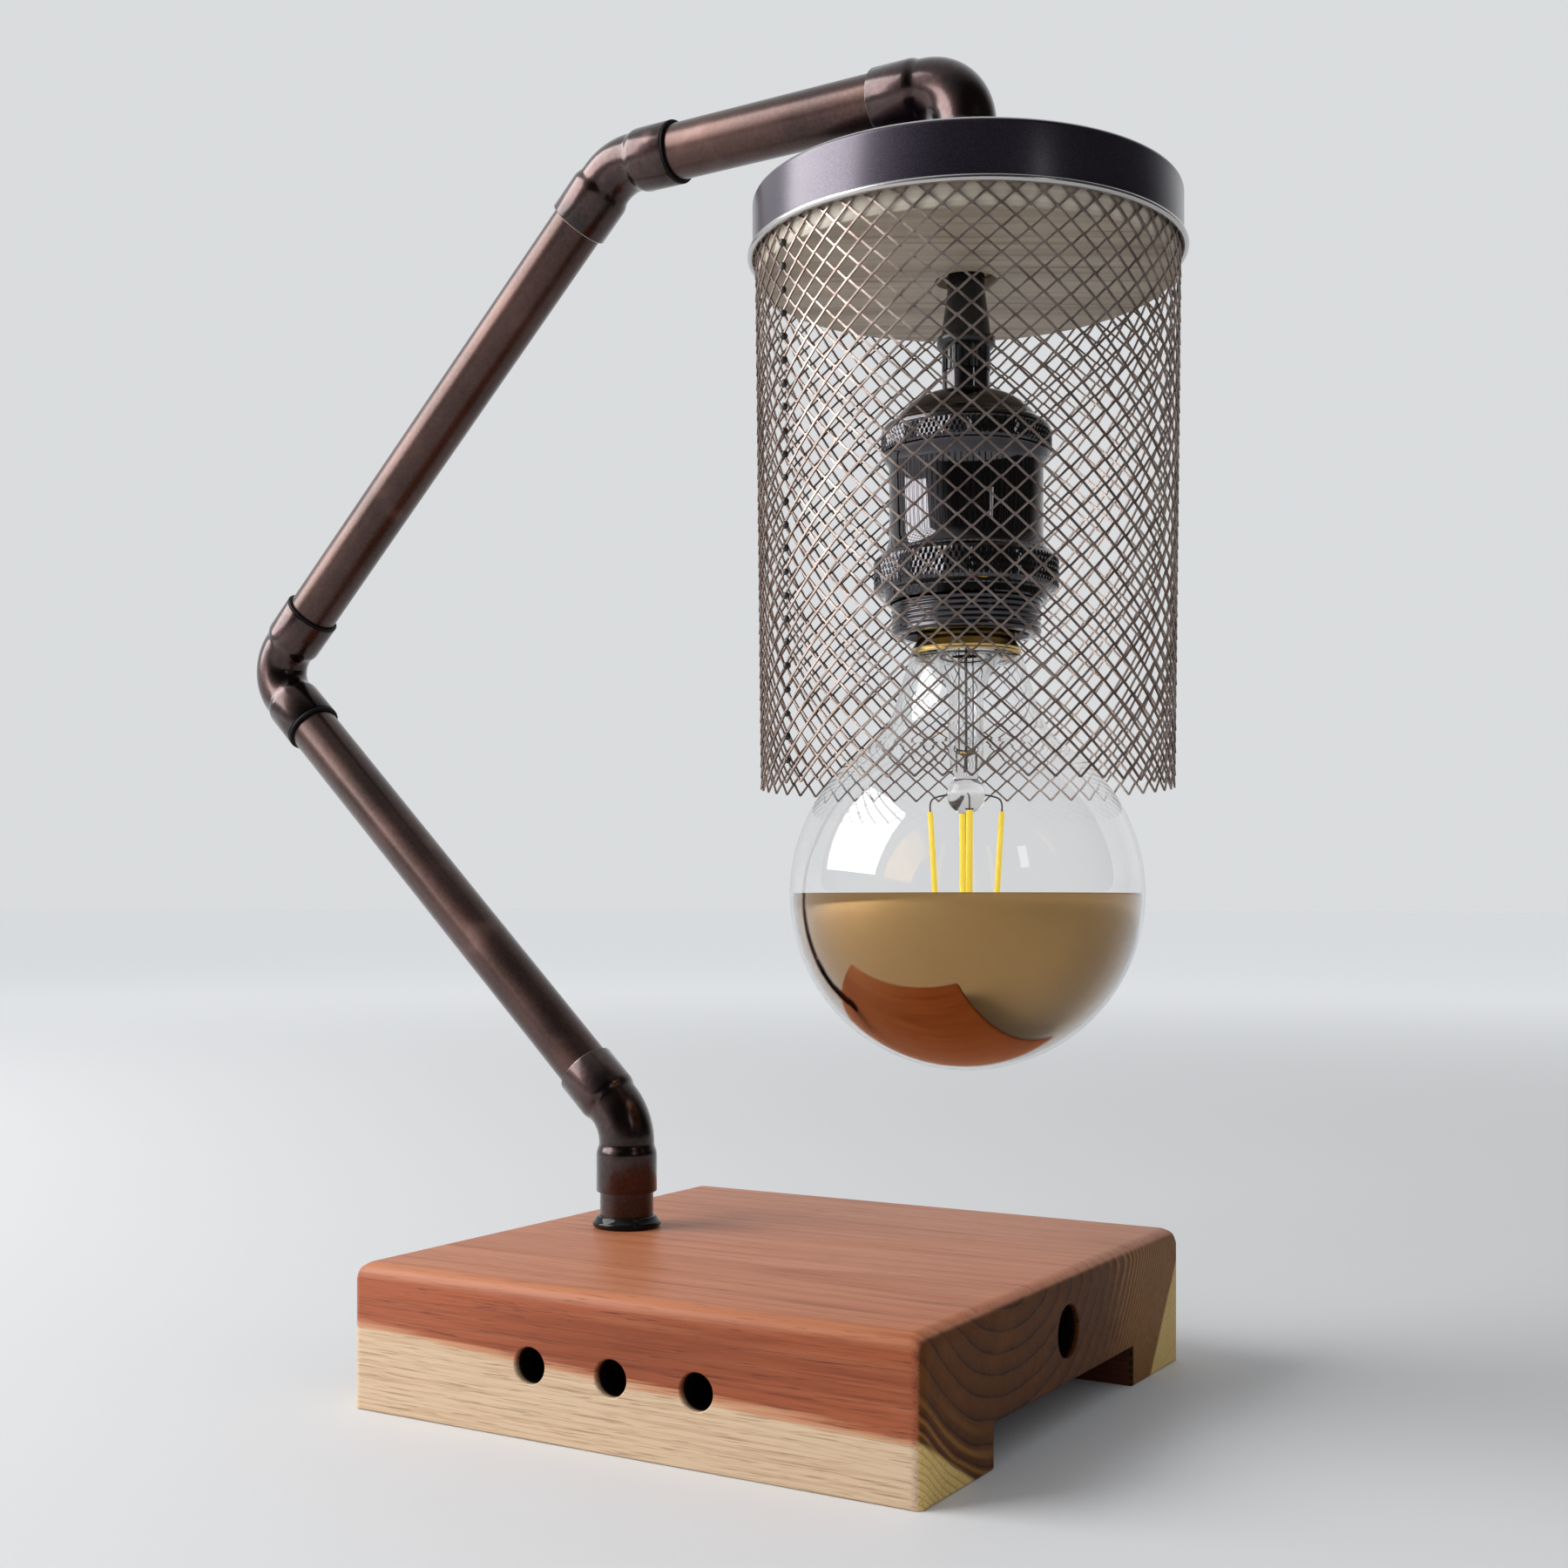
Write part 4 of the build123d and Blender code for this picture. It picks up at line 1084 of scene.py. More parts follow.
discSizes = {
    "radius": 56.0,
    "hole": 8.35,
    "edge": 0.5,
}


def makeDisc(sizes):
    low, high = heights("wood_disc")
    edge, hole = sizes["edge"], sizes["hole"]
    outline = [(hole, low)] + arc(sizes["radius"] - edge, low + edge, edge, -90, 0, 3)
    outline += arc(sizes["radius"] - edge, high - edge, edge, 0, 90, 3) + [(hole, high)]
    return turned("veneeredDisc", outline, 128)


dress(makeDisc(discSizes), "veneerDisc", "head", "disc_wood", "wood_disc")
print("cap and disc modelled")


meshSizes = {
    "columns": 50,
    "rows": 50,
    "strand": 0.68,
    "lap": 0.58,
    "knuckle": 0.45,
    "wall": 0.42,
    "twist": 0.12,
    "topRadius": 56.62,
    "bottomRadius": 55.0,
    "seamTurn": 240.4,
    "glueBlob": (0.95, 0.95, 1.05),
    "glueStray": 0.2,
    "glueGrowth": (0.8, 1.15),
    "glueRoughness": 0.06,
}


def makeExpandedMesh(sizes):
    low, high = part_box("mesh_shade")
    corners = 4 * sizes["columns"]
    pitch = (high.z - low.z - sizes["lap"] * mm) / sizes["rows"]
    rise = pitch - (sizes["strand"] - sizes["lap"]) * mm
    radius = sizes["bottomRadius"] * mm
    foot = axis + upWay * low.z
    clearSelection()
    bpy.ops.mesh.primitive_circle_add(vertices=corners, radius=radius, location=foot)
    shade = startEditing("expandedMesh")
    toMode("OBJECT")
    first = shade.data.vertices[0].co - foot
    toMode("EDIT")
    selectAll()
    turnToSeam = math.radians(sizes["seamTurn"]) - math.atan2(first.y, first.x)
    swing(-turnToSeam, foot)
    closer = math.pi / corners - sizes["knuckle"] * mm / 2 / radius
    for parity, sense in ((0, 1), (1, -1)):
        pick(shade, "vertices", lambda vertex: vertex.index % 2 == parity)
        swing(closer * sense, foot)
    toMode("OBJECT")
    places = [vertex.co.copy() for vertex in shade.data.vertices[:3]]
    paired = (places[0] - places[1]).length < (places[1] - places[2]).length
    toMode("EDIT")
    lowPair = (0, 1) if paired else (3, 0)
    twist = sizes["twist"] * mm / radius
    pick(shade, "vertices", lambda vertex: vertex.index % 4 in lowPair)
    widen(1 + twist, foot)
    pick(shade, "vertices", lambda vertex: vertex.index % 4 not in lowPair)
    bpy.ops.transform.translate(value=(0, 0, rise))
    widen(1 - twist, foot)
    selectAll()
    extrude((0, 0, sizes["strand"] * mm))
    useModifier(shade, "SOLIDIFY", thickness=sizes["wall"] * mm, offset=0)

    # rows are copied in pairs, the second turned by half a diamond, and each pair is a little wider
    widening = (sizes["topRadius"] - sizes["bottomRadius"]) * mm / sizes["rows"]
    toMode("EDIT")
    selectAll()
    repeat((0, 0, pitch))
    swing(math.pi / sizes["columns"], foot)
    widen(1 + widening / radius, foot)
    selectAll()
    for pair in range(1, sizes["rows"] // 2):
        repeat((0, 0, 2 * pitch))
        widen(1 + 2 * widening / (radius + widening * 2 * (pair - 1)), foot)
    return endEditing(shade, smoothAngle=20)


def makeSeam(sizes):
    # dark beads of glue close the mesh down one row of crossings
    low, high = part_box("mesh_shade")
    turn = math.radians(sizes["seamTurn"])
    outward = Vector((math.cos(turn), math.sin(turn), 0))
    blobs = []
    rows = sizes["rows"] // 2
    stray = sizes["glueStray"]
    for row in range(1, rows):
        radius = sizes["bottomRadius"] + (sizes["topRadius"] - sizes["bottomRadius"]) * row / rows
        place = axis + outward * (radius * mm)
        place.z = low.z + (high.z - low.z) * row / rows + random.uniform(-stray, stray) * mm
        scale = [size * random.uniform(*sizes["glueGrowth"]) * mm for size in sizes["glueBlob"]]
        where = {"location": place, "rotation": (0, 0, turn), "scale": scale}
        clearSelection()
        bpy.ops.mesh.primitive_ico_sphere_add(subdivisions=2, **where)
        blob = startEditing("glueBlob")
        bpy.ops.transform.vertex_random(offset=sizes["glueRoughness"] * mm, seed=row)
        blobs.append(endEditing(blob, smoothAngle=60))
    return joinPieces("seamGlue", blobs)


expandedMesh = makeExpandedMesh(meshSizes)
dress(expandedMesh, "meshBronze", "head", "mesh_bronze", "mesh_shade")
dress(makeSeam(meshSizes), "seamGlue", "head", "mesh_bronze")
print("expanded mesh modelled:", len(expandedMesh.data.polygons), "faces")


# Lamp holder

gripSizes = {
    "top": 5.0,
    "topRound": 0.6,
    "taper": [(0.05, 1.2), (0.2, 0)],
    "foot": 6.7,
    "footLine": [(-0.15, 1.2), (0, 0.3)],
    "flange": 7.85,
    "flangeHeight": 3.2,
    "flangeRound": 0.5,
    "flangeLine": [(0, 1.1), (-0.4, 0.5), (-1.25, 0)],
    "hole": 0.05,
}
nippleHole = radiusOf("nipple") + gripSizes["hole"]


def makeGrip(sizes):
    low, high = heights("cord_grip")
    top, topRound, flange, flangeRound = take(sizes, "top topRound flange flangeRound")
    flangeTop = low + sizes["flangeHeight"]
    outline = [(nippleHole, high)] + arc(top - topRound, high - topRound, topRound, 90, 0, 4)
    outline += beside(top, high - (high - flangeTop) / 3, sizes["taper"])
    outline += beside(sizes["foot"], flangeTop, sizes["footLine"])
    outline += arc(flange - flangeRound, flangeTop - flangeRound, flangeRound, 90, 0, 4)
    outline += beside(flange, low, sizes["flangeLine"]) + [(nippleHole, low)]
    return turned("taperedGrip", outline, 72, 40)


dress(makeGrip(gripSizes), "gripPlastic", "head", "grip_plastic", "cord_grip")

nutSizes = {
    "ribs": 24,
    "inset": 0.25,
    "sunk": 0.35,
}


def makeRibbedNut(sizes):
    low, high = heights("grip_nut")
    outer, pitch = radiusOf("grip_nut") * mm, 360 / sizes["ribs"]
    middle = onAxis((low + high) / 2)
    clearSelection()
    bpy.ops.mesh.primitive_cylinder_add(vertices=96, radius=outer, depth=(high - low) * mm, location=middle)
    nut = startEditing("ribbedNut")
    pick(nut, "polygons", lambda face: abs(face.normal.z) < 0.5 and turnOf(face.center) % pitch < pitch / 2)
    bpy.ops.mesh.inset(thickness=sizes["inset"] * mm, depth=-sizes["sunk"] * mm)
    return endEditing(nut, smoothAngle=25)


dress(makeRibbedNut(nutSizes), "gripPlastic", "head", "grip_plastic", "grip_nut")

holderSizes = {
    "neck": 6.4,
    "neckLength": 6.0,
    "neckTop": [(-0.3, 0), (0, -0.3)],
    "neckFoot": [(0, 0.8), (0.25, 0.2)],
    "domeHeight": 6.6,
    "dome": 18.8,
    "lipStep": (0.25, -0.55),
    "shoulder": (2.6, 0.25, 2.35),
    "knurl": 23.0,
    "knurlHeight": 5.2,
    "knurlRows": 8,
    "ringRows": 10,
    "knurlDepth": 0.42,
    "knurlColumns": 416,
    "wall": 1.5,
    "mouth": 1.0,
    "spigotGap": 0.05,
    "barrel": 20.7,
    "barrelWaist": 0.05,
    "collar": [(-0.9, 0), (-0.5, -0.35), (-0.6, -1.1), (-1.2, -1.7)],
    "topFlare": 3.5,
    "topFlareLine": [(0.35, 0.7), (0, -0.4)],
    "rimFlare": 3.7,
    "rimFlareLine": [(0, 0.5), (0.35, -0.6)],
    "rim": 22.1,
    "rimLine": [(-0.3, 0.9), (0, 0.45), (-0.1, 0)],
    "length": 27.2,
    "thread": 20.2,
    "threadRows": 96,
    "threadEnds": (0.2, 0.6),
    "threadFade": 0.5,
    "threadPitch": 1.5,
    "threadDepth": 0.42,
    "threadFoot": [(-0.35, 0.12), (-0.6, 0)],
    "lip": 1.8,
    "lipLine": [(0.2, 0), (0, 0.25), (0, 4.5), (1.8, 4.5)],
    "ring": 24.9,
    "ringHole": 0.2,
    "ringSkirt": 2.7,
    "ringEnds": (1.2, 0.6),
    "ringTop": [(-1.3, 0), (-0.9, -0.15), (-0.35, -0.75)],
    "ringFoot": [(-0.45, 0.25), (-1.1, 0)],
    "skirtTop": [(1.7, -0.15), (1.5, -0.5)],
    "skirtFoot": [(1.35, 0.35), (1.0, 0), (0, 0)],
}


def wallPoints(piece, radius, low, high):
    # the points of a turned wall, each with its outward direction and its turn from 0 to 1
    found = []
    for vertex in piece.data.vertices:
        away = Vector((vertex.co.x - shadeX, vertex.co.y, 0))
        if low < vertex.co.z / mm < high and abs(away.length - radius * mm) < 0.02 * mm:
            found.append((vertex, away.normalized(), turnOf(vertex.co) / 360))
    return found


def knurlBand(piece, radius, low, high, depth, columns):
    # waves the grid in and out both ways, which leaves staggered rows of small cut diamonds
    grid = wallPoints(piece, radius, low + 0.05, high - 0.05)
    levels = sorted({round(vertex.co.z / mm, 3) for vertex, away, turn in grid})
    for vertex, away, turn in grid:
        level = levels.index(round(vertex.co.z / mm, 3))
        wave = math.cos(round(turn * columns) * math.pi / 2) * math.cos(level * math.pi / 2)
        vertex.co += away * (depth * (0.5 + 0.5 * wave) * mm)
    toMode("EDIT")
    return endEditing(piece, 0.0005, 20)


def cutThread(piece, radius, low, high, pitch, depth):
    # lowers the wall between the turns of a thread, fading out at both ends
    for vertex, away, turn in wallPoints(piece, radius, low, high):
        height = vertex.co.z / mm
        fade = min(1, (height - low) / pitch, (high - height) / pitch)
        drop = (0.5 + 0.5 * math.cos(2 * math.pi * (height / pitch - turn))) * depth * fade
        vertex.co -= away * (drop * mm)
    return piece


def makeSocketCap(sizes):
    low, high = heights("socket_cap")
    neck, dome, domeHeight, knurl, wall = take(sizes, "neck dome domeHeight knurl wall")
    neckFoot, knurlTop = high - sizes["neckLength"], low + sizes["knurlHeight"]
    domeRadius = ((dome - neck) ** 2 + domeHeight ** 2) / (2 * domeHeight)
    domeEnd = math.degrees(math.acos((dome - neck) / domeRadius))
    domeCentre, grid = neckFoot - domeRadius, knurl - sizes["knurlDepth"]
    outline = [(nippleHole, high)] + beside(neck, high, sizes["neckTop"])
    outline += beside(neck, neckFoot, sizes["neckFoot"])
    outline += arc(neck, domeCentre, domeRadius, 86, domeEnd, 14)
    outline += beside(*outline[-1], [sizes["lipStep"]])
    inward, upward, shoulderRadius = sizes["shoulder"]
    outline += arc(knurl - inward, knurlTop + upward, shoulderRadius, 78, 0, 8)
    outline += gridLine(grid, knurlTop, low, sizes["knurlRows"])
    inner = knurl - 2 * wall + sizes["spigotGap"]
    outline += [(knurl - sizes["mouth"], low), (inner, low), (inner, knurlTop)]
    outline += beside(dome, neckFoot - domeHeight, [(-wall, -wall)])
    outline += arc(neck, domeCentre, domeRadius - wall, domeEnd + 4, 88, 6) + [(nippleHole, neckFoot - wall)]
    piece = turned("holderCap", outline, sizes["knurlColumns"])
    return knurlBand(piece, grid, low, knurlTop, sizes["knurlDepth"], sizes["knurlColumns"])


def makeSocketBody(sizes):
    low, high = heights("socket_body")
    knurlFoot = heights("socket_cap")[0]
    rimFoot = knurlFoot - sizes["length"]
    knurl, wall, barrel, thread = take(sizes, "knurl wall barrel thread")
    spigot, inner = knurl - 2 * wall, thread - wall
    outline = [(inner, high), (spigot, high), (spigot, knurlFoot)] + beside(knurl, knurlFoot, sizes["collar"])
    outline += beside(barrel, knurlFoot - sizes["topFlare"], sizes["topFlareLine"])
    outline += [(barrel - sizes["barrelWaist"], (knurlFoot + rimFoot) / 2)]
    outline += beside(barrel, rimFoot + sizes["rimFlare"], sizes["rimFlareLine"])
    outline += beside(sizes["rim"], rimFoot, sizes["rimLine"]) + [(thread, rimFoot)]
    above, below = sizes["threadEnds"]
    outline += gridLine(thread, rimFoot - above, low + below, sizes["threadRows"])
    outline += beside(thread, low, sizes["threadFoot"]) + beside(inner - sizes["lip"], low, sizes["lipLine"])
    piece = turned("holderBody", outline, 112, 40)
    threadFoot = low + sizes["threadFade"]
    return cutThread(piece, thread, threadFoot, rimFoot, sizes["threadPitch"], sizes["threadDepth"])


def makeShadeRing(sizes):
    low, high = heights("shade_ring")
    bandFoot, hole = low + sizes["ringSkirt"], sizes["thread"] + sizes["ringHole"]
    outer = sizes["ring"] - sizes["knurlDepth"]
    above, below = sizes["ringEnds"]
    gridTop, gridFoot = high - above, bandFoot + below
    outline = [(hole, high)] + beside(outer, high, sizes["ringTop"])
    outline += gridLine(outer, gridTop, gridFoot, sizes["ringRows"])
    rest = ((outer, bandFoot, "ringFoot"), (hole, bandFoot, "skirtTop"), (hole, low, "skirtFoot"))
    for radius, height, line in rest:
        outline += beside(radius, height, sizes[line])
    piece = turned("knurledShadeRing", outline, sizes["knurlColumns"])
    return knurlBand(piece, outer, gridFoot, gridTop, sizes["knurlDepth"], sizes["knurlColumns"])


dress(makeSocketCap(holderSizes), "blackChrome", "head", "black_chrome", "socket_cap")
dress(makeSocketBody(holderSizes), "blackChrome", "head", "black_chrome", "socket_body")
dress(makeShadeRing(holderSizes), "blackChrome", "shade_ring", "black_chrome", "shade_ring")
print("lamp holder modelled")


# Bulb

bulbSizes = {
    "cap": 13.1,
    "capWall": 0.5,
    "skirt": 14.9,
    "skirtHeight": 3.9,
    "skirtLine": [(-0.5, 0), (-0.1, 0), (0, 0.15), (0, 0.5), (-0.25, 0.75), (-0.05, 1.3)],
    "skirtLead": (0.5, -0.9),
    "skirtInside": (-0.7, 1.2),
    "capLength": 20.0,
    "cone": 3.0,
    "button": 8.0,
    "buttonLine": [(0.6, -0.5), (0, 0), (-0.5, 0)],
    "coneInside": (-1.1, -0.5),
    "shellInside": 1.5,
    "threadRows": 36,
    "threadInside": 0.8,
    "threadFade": 1.2,
    "threadPitch": 3.62,
    "threadDepth": 1.15,
    "globe": 47.5,
    "wall": 0.8,
    "globeDrop": 64.1,
    "neck": 12.4,
    "neckMouth": 15.2,
    "neckLean": 16.0,
    "neckBend": 22.0,
    "neckFoot": [(0, 0.4), (0.3, 0.1)],
    "mouthLine": [(-0.5, 0), (0, -0.35)],
    "glassInCap": 3.2,
    "mirrorGap": 0.05,
    "mirrorWall": 0.3,
}
skirtFoot = heights("bulb_cap")[0]
globeCentre = skirtFoot - bulbSizes["globeDrop"]


def makeBulbCap(sizes):
    cap, wall, skirt = sizes["cap"], sizes["capWall"], sizes["skirt"]
    skirtTop = skirtFoot + sizes["skirtHeight"]
    shellTop = skirtTop + sizes["capLength"]
    outline = beside(skirt, skirtFoot, sizes["skirtLine"]) + beside(cap, skirtTop, [sizes["skirtLead"]])
    outline += gridLine(cap, skirtTop, shellTop, sizes["threadRows"])
    outline += beside(sizes["button"], shellTop + sizes["cone"], sizes["buttonLine"])
    outline += beside(cap, shellTop, [sizes["coneInside"]])
    outline += gridLine(cap - sizes["shellInside"], shellTop - 2 * wall, skirtTop + sizes["threadInside"], 1)
    outline += beside(skirt, skirtFoot, [sizes["skirtInside"]])
    piece = turned("bulbCap", outline, 112, 40)
    threadFoot = skirtTop + sizes["threadFade"]
    return cutThread(piece, cap, threadFoot, shellTop, sizes["threadPitch"], sizes["threadDepth"])


def globeLine(sizes, inset):
    # neck, cone, hollow bend and sphere from the top down, moved inwards by the inset
    lean = math.radians(sizes["neckLean"])
    along = Vector((math.sin(lean), -math.cos(lean)))
    side = Vector((math.cos(lean), math.sin(lean)))
    centre = Vector((0, globeCentre))
    mouth = Vector((sizes["neckMouth"], skirtFoot - sizes["capWall"]))
    offset = mouth + side * sizes["neckBend"] - centre
    half = offset.dot(along)
    reach = sizes["globe"] + sizes["neckBend"]
    coneLength = -half - math.sqrt(half ** 2 - offset.length_squared + reach ** 2)
    bendCentre = centre + offset + along * coneLength
    start = mouth - side * inset + along * (inset * (1 - side.y) / math.cos(lean))
    neck = sizes["neck"] - inset
    points = [(neck, skirtFoot + sizes["glassInCap"])] + beside(neck, start.y, sizes["neckFoot"])
    points += beside(start.x, start.y, sizes["mouthLine"])
    toGlobe = (centre - bendCentre).normalized()
    endTurn = math.degrees(math.atan2(toGlobe.y, toGlobe.x)) % 360
    startTurn = 180 + sizes["neckLean"]
    points += arc(bendCentre.x, bendCentre.y, sizes["neckBend"] + inset, startTurn, endTurn, 12)
    startTurn = math.degrees(math.atan2(-toGlobe.y, -toGlobe.x))
    return points + arc(0, centre.y, sizes["globe"] - inset, startTurn, -90, 48)[1:]


def makeGlobe(sizes):
    outline = globeLine(sizes, 0) + globeLine(sizes, sizes["wall"])[::-1]
    return turned("glassGlobe", outline, 120, 60)


def makeMirror(sizes):
    outer = sizes["globe"] - sizes["wall"] - sizes["mirrorGap"]
    inner = outer - sizes["mirrorWall"]
    outline = arc(0, globeCentre, outer, 0, -90, 40) + arc(0, globeCentre, inner, -90, 0, 40)
    return turned("mirrorCoat", outline, 120, 50)


dress(makeBulbCap(bulbSizes), "bulbBrass", "bulb", "bulb_brass", "bulb_cap")
dress(makeGlobe(bulbSizes), "clearGlass", "bulb", "bulb_glass", "bulb_globe")
dress(makeMirror(bulbSizes), "goldMirror", "bulb", "gold_mirror", "bulb_mirror")

stemSizes = {
    "stem": 4.6,
    "wall": 0.9,
    "length": 34.0,
    "bead": 5.2,
    "edgeLine": [(0, 0), (0, -0.8), (-2.6, -3.2)],
    "flareLine": [(1.7, -7.5), (0.5, -11), (0, -13)],
    "pinchLine": [(0, 6), (-0.5, 2.5), (-1.4, 0.4), (-1.1, -0.6)],
    "hollowFoot": 4.5,
    "hollowLine": [(-1.0, 6.5), (0, 9)],
    "edgeInside": (-3.5, -2.6),
}
stemTop = skirtFoot + bulbSizes["glassInCap"] / 2
beadHeight = stemTop - stemSizes["length"] - stemSizes["bead"]


def makeStem(sizes):
    # flared tube drawn down to a solid bead, hollow above the pinch
    edge = bulbSizes["neck"] - bulbSizes["wall"] - bulbSizes["mirrorGap"]
    stem, tubeFoot = sizes["stem"], beadHeight + sizes["bead"]
    hollow = stem - sizes["wall"]
    outline = beside(edge, stemTop, sizes["edgeLine"]) + beside(stem, stemTop, sizes["flareLine"])
    outline += beside(stem, tubeFoot, sizes["pinchLine"]) + arc(0, beadHeight, sizes["bead"], 52, -90, 12)
    outline += [(0, tubeFoot + sizes["hollowFoot"])] + beside(hollow, tubeFoot, sizes["hollowLine"])
    outline += beside(hollow, stemTop, sizes["flareLine"][::-1])
    outline += beside(edge, stemTop, [sizes["edgeInside"]])
    return turned("flaredStem", outline, 72, 60)


dress(makeStem(stemSizes), "clearGlass", "bulb", "bulb_glass", "glass_stem")

stripSizes = {
    "strips": 4,
    "turn": 31.0,
    "width": 1.9,
    "flat": 0.8,
    "length": 38.0,
    "top": 9.6,
    "foot": 7.4,
    "drop": 42.4,
    "wire": 0.24,
    "weldShare": 0.9,
    "leadShare": 0.8,
    "spineSunk": 0.2,
    "tail": 3.0,
    "knot": 0.6,
    "tip": 1.2,
    "crest": (0.8, 0.5),
    "weld": (0.5, 1.1),
    "tab": (0.3, 1.6),
    "footTab": (1.5, 0.3),
    "leadSide": 1.9,
    "leadEnds": (1.0, 1.0),
}


def stripLine(index, sizes):
    turn = math.radians(sizes["turn"] + 360 / sizes["strips"] * index)
    outward = Vector((math.cos(turn), math.sin(turn), 0))
    top = onAxis(skirtFoot - sizes["drop"], outward, sizes["top"])
    return outward, onAxis(skirtFoot - sizes["drop"] - sizes["length"], outward, sizes["foot"]), top


def makeStrips(sizes):
    rods = []
    for index in range(sizes["strips"]):
        outward, foot, top = stripLine(index, sizes)
        rods.append(roundRod("strip", foot, top, sizes["width"] / 2 * mm, 14, sizes["flat"], outward))
    return joinPieces("lightStrips", rods)


def makeWires(sizes):
    # leads inside the stem, arms out to the strip tops, welds, and the star that joins their feet
    parts = []
    radius = sizes["wire"] * mm
    star = onAxis(skirtFoot - sizes["drop"] - sizes["length"] - sizes["tail"])
    bead = stemSizes["bead"]
    for index in range(sizes["strips"]):
        outward, foot, top = stripLine(index, sizes)
        lean = (top - foot).normalized() * mm
        knot = onAxis(beadHeight, outward, bead - sizes["knot"])
        tip, high = top + lean * sizes["tip"], top + lean * sizes["tail"]
        crest = (knot + high) / 2 + outward * (sizes["crest"][0] * mm) + upWay * (sizes["crest"][1] * mm)
        parts.append(tubeThrough("arm", [knot, crest, high, tip], radius))
        weld = top + lean * sizes["weld"][0]
        across = upWay.cross(outward).normalized() * (sizes["weld"][1] * mm)
        parts.append(roundRod("weld", weld - across, weld + across, radius * sizes["weldShare"]))
        parts.append(roundRod("tab", top - lean * sizes["tab"][0], top + lean * sizes["tab"][1], radius))
        below, above = sizes["footTab"]
        parts.append(roundRod("footTab", foot - lean * below, foot + lean * above, radius))
        parts.append(tubeThrough("starArm", [foot - lean * sizes["tip"], (foot + star) / 2, star], radius))
        leadTop = onAxis(stemTop - sizes["leadEnds"][0], outward, sizes["leadSide"])
        leadFoot = onAxis(beadHeight + bead + sizes["leadEnds"][1], outward, sizes["leadSide"])
        parts.append(roundRod("lead", leadFoot, leadTop, radius * sizes["leadShare"]))
    parts.append(roundRod("spine", star, onAxis(beadHeight - bead + sizes["spineSunk"]), radius))
    return joinPieces("supportWires", parts)


dress(makeStrips(stripSizes), "phosphorStrip", "bulb", "filament_yellow", "filaments")
dress(makeWires(stripSizes), "wireMetal", "bulb", "wire_steel", "support_wires")
print("bulb modelled")


# Hidden pieces keep their solids and get their own finishes

hiddenNodes = {
    "anchor_washer anchor_nut cap_locknut disc_flange flange_screws nipple": "zincSteel",
    "pipe_bushing screw_shell terminal_screws centre_contact": "contactBrass",
    "socket_insulator": "porcelain",
    "cap_button": "gripPlastic",
    "tip_contact": "dullSolder",
    "bulb_driver": "driverBoard",
}
for nodes, finish in hiddenNodes.items():
    for node in nodes.split():
        materials = frame["nodes"][node].data.materials
        materials.clear()
        materials.append(finishes[finish].material)
print("hidden pieces dressed")


# Floor, light and camera

studio = {
    "floorColour": (0.70, 0.705, 0.715),
    "worldColour": (0.70, 0.715, 0.73),
    "worldLight": 0.61,
    "paleSide": (-0.8, 0.3, 0.25),
    "sideBlur": 0.3,
    "dimSide": 0.05,
    "aim": (0.03, 0.0, 0.2),
    "keyWay": (-0.777, -0.564, 0.55),
    "keyDistance": 1.7,
    "keySize": (1.4, 1.3),
    "keyPower": 38.0,
    "fillWay": (0.95, -0.45, 0.35),
    "fillDistance": 1.6,
    "fillSize": (0.15, 0.35),
    "fillPower": 0.4,
    "floorSize": 60,
    "farStart": 250,
    "farEnd": 2600,
    "farGlow": 0.50,
}


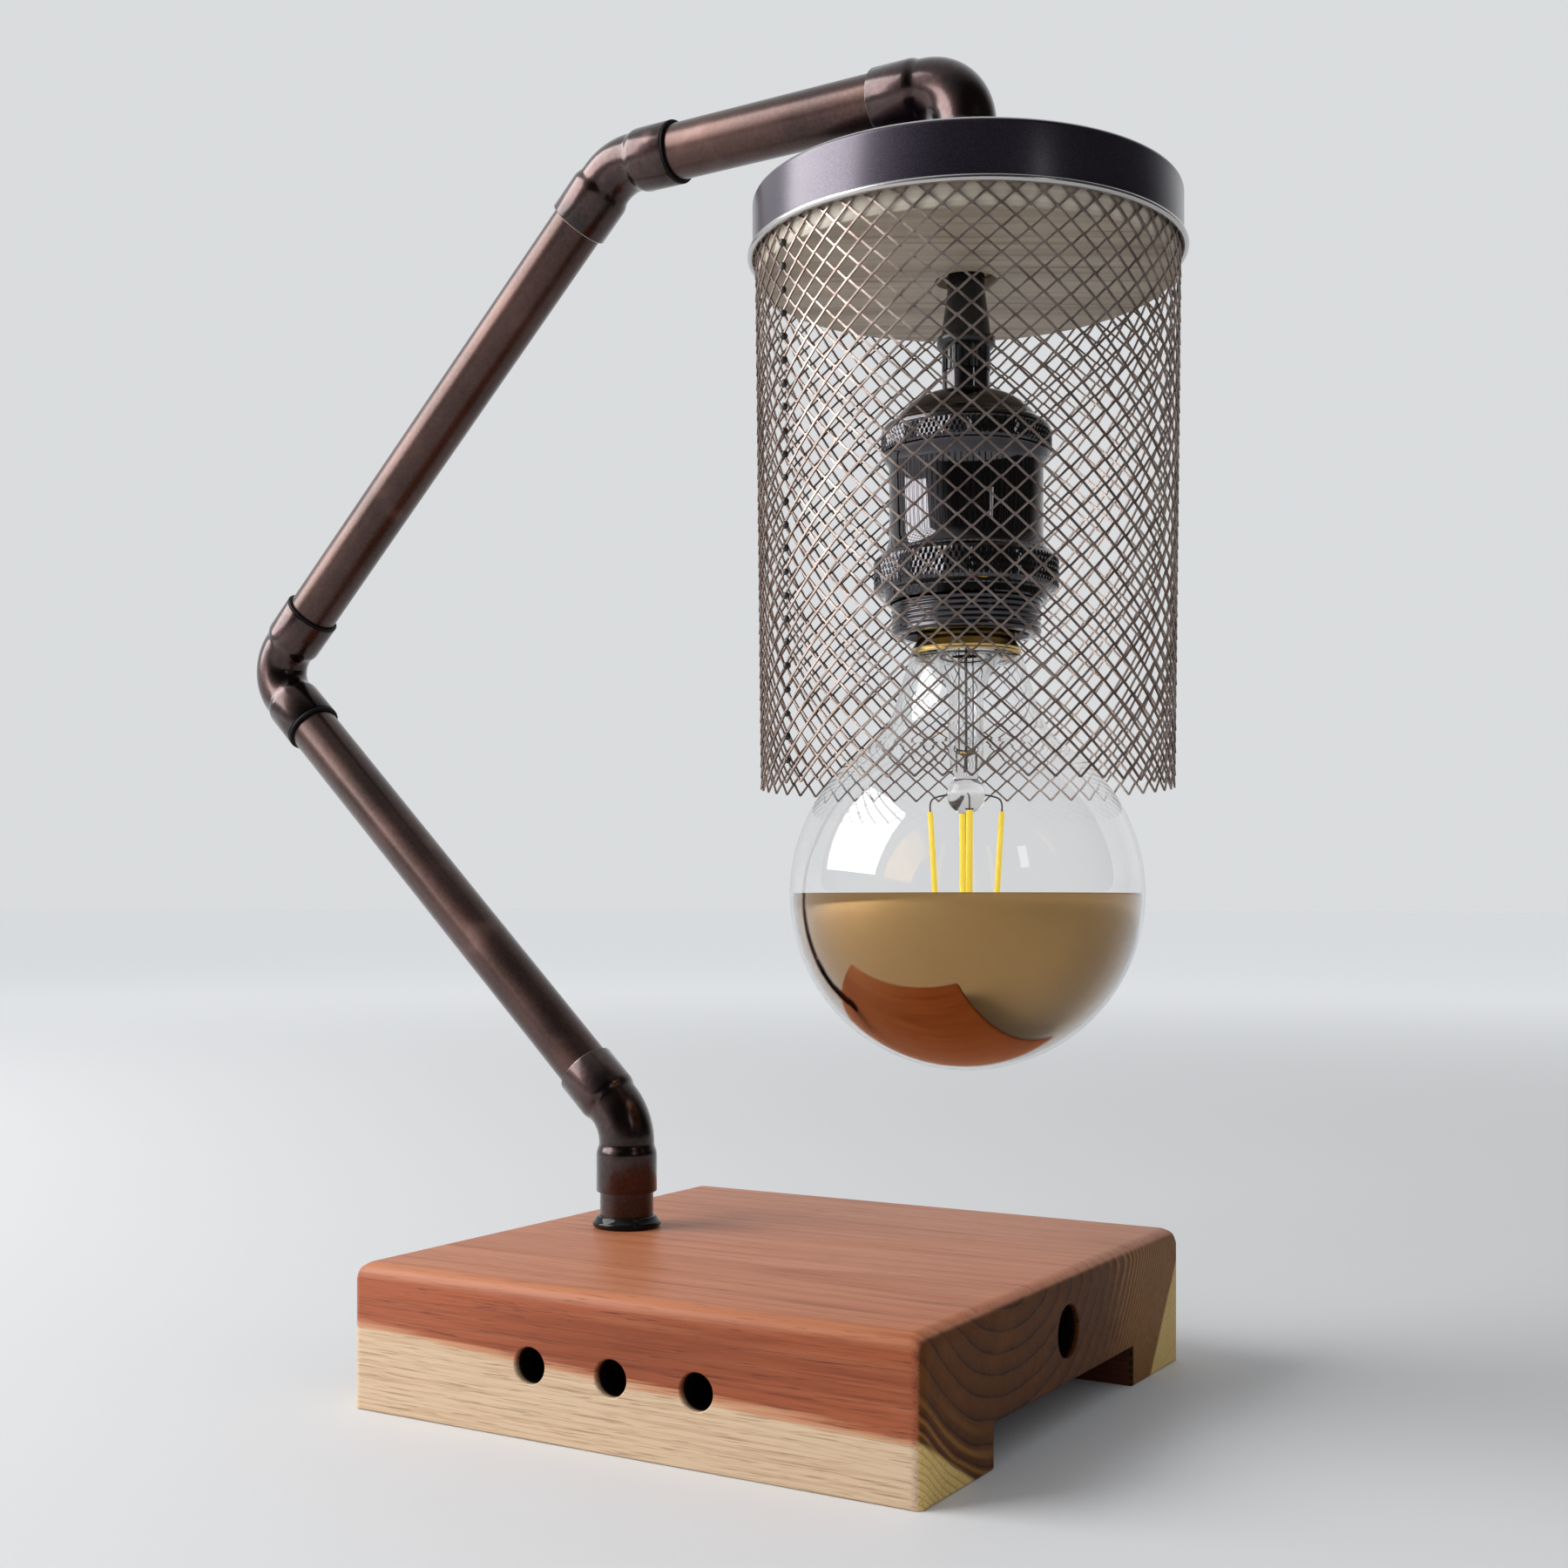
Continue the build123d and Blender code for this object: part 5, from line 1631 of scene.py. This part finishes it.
def makeFloor(settings):
    clearSelection()
    bpy.ops.mesh.primitive_plane_add(size=settings["floorSize"])
    floor = startEditing("paleFloor")
    bpy.ops.mesh.subdivide(number_cuts=3)
    endEditing(floor)
    shade, glow = settings["floorColour"], (0, settings["farGlow"])
    finish = Finish("paleFloor", {"Roughness": 0.65, "Specular IOR Level": 0.3, "Emission Strength": 1.0})
    dimmer = tuple(channel * 0.98 for channel in shade)
    finish.set("Base Color", finish.blend(finish.noise(3.0), dimmer, shade))
    # far from the lamp the floor glows to the eye, in gloss and through glass, so that it meets the backdrop
    x, y = finish.axes()[:2]
    far = finish.ease((x * x + y * y) ** 0.5, settings["farStart"], settings["farEnd"], glow)
    far = far * finish.rays("Camera", "Glossy", "Transmission")
    finish.set("Emission Color", finish.blend(far, (0, 0, 0), settings["worldColour"]))
    floor.data.materials.append(finish.material)


def makeWorld(settings):
    # pale all round to the eye and through glass, but gloss mirrors a dimmer room away from the pale side
    world = bpy.data.worlds.new("studioWorld")
    world.use_nodes = True
    bpy.context.scene.world = world
    sky = Nodes(world.node_tree)
    background = sky.tree.nodes["Background"]
    background.inputs["Color"].default_value = (*settings["worldColour"], 1)
    around = sky.add("ShaderNodeTexCoord", output="Generated")
    towards = {0: around, 1: settings["paleSide"]}
    side = sky.add("ShaderNodeVectorMath", towards, {"operation": "DOT_PRODUCT"}, "Value")
    side = sky.ease(side, -settings["sideBlur"], settings["sideBlur"], (settings["dimSide"], 1.0))
    direct = sky.rays("Camera", "Transmission")
    mirrored = sky.rays("Glossy") * (1 - direct)
    strength = direct + mirrored * side + (1 - direct - mirrored) * settings["worldLight"]
    plug(sky.tree, strength, background.inputs["Strength"])


def makeSoftbox(name, way, distance, size, power, aim):
    bpy.ops.object.light_add(type="AREA", location=Vector(aim) + Vector(way).normalized() * distance)
    lamp = bpy.context.object
    lamp.name = name
    lamp.rotation_euler = Vector(way).to_track_quat("Z", "Y").to_euler()
    lamp.data.shape = "RECTANGLE"
    lamp.data.size, lamp.data.size_y = size
    lamp.data.energy = power


makeFloor(studio)
makeWorld(studio)
clearSelection()
for label in ("key", "fill"):
    settings = [studio[label + part] for part in ("Way", "Distance", "Size", "Power")]
    makeSoftbox(label + "Softbox", *settings, studio["aim"])

view = {
    "place": (0.3265, -0.4654, 0.1363),
    "turn": 31.14,
    "lens": 43.85,
    "sensor": 36,
    "shiftUp": 0.076,
}
bpy.ops.object.camera_add(location=view["place"], rotation=(math.radians(90), 0, math.radians(view["turn"])))
camera = bpy.context.object
camera.data.lens = view["lens"]
camera.data.sensor_width = view["sensor"]
camera.data.shift_y = view["shiftUp"]
bpy.context.scene.camera = camera
bpy.context.scene.view_settings.view_transform = "Standard"
print("studio ready")
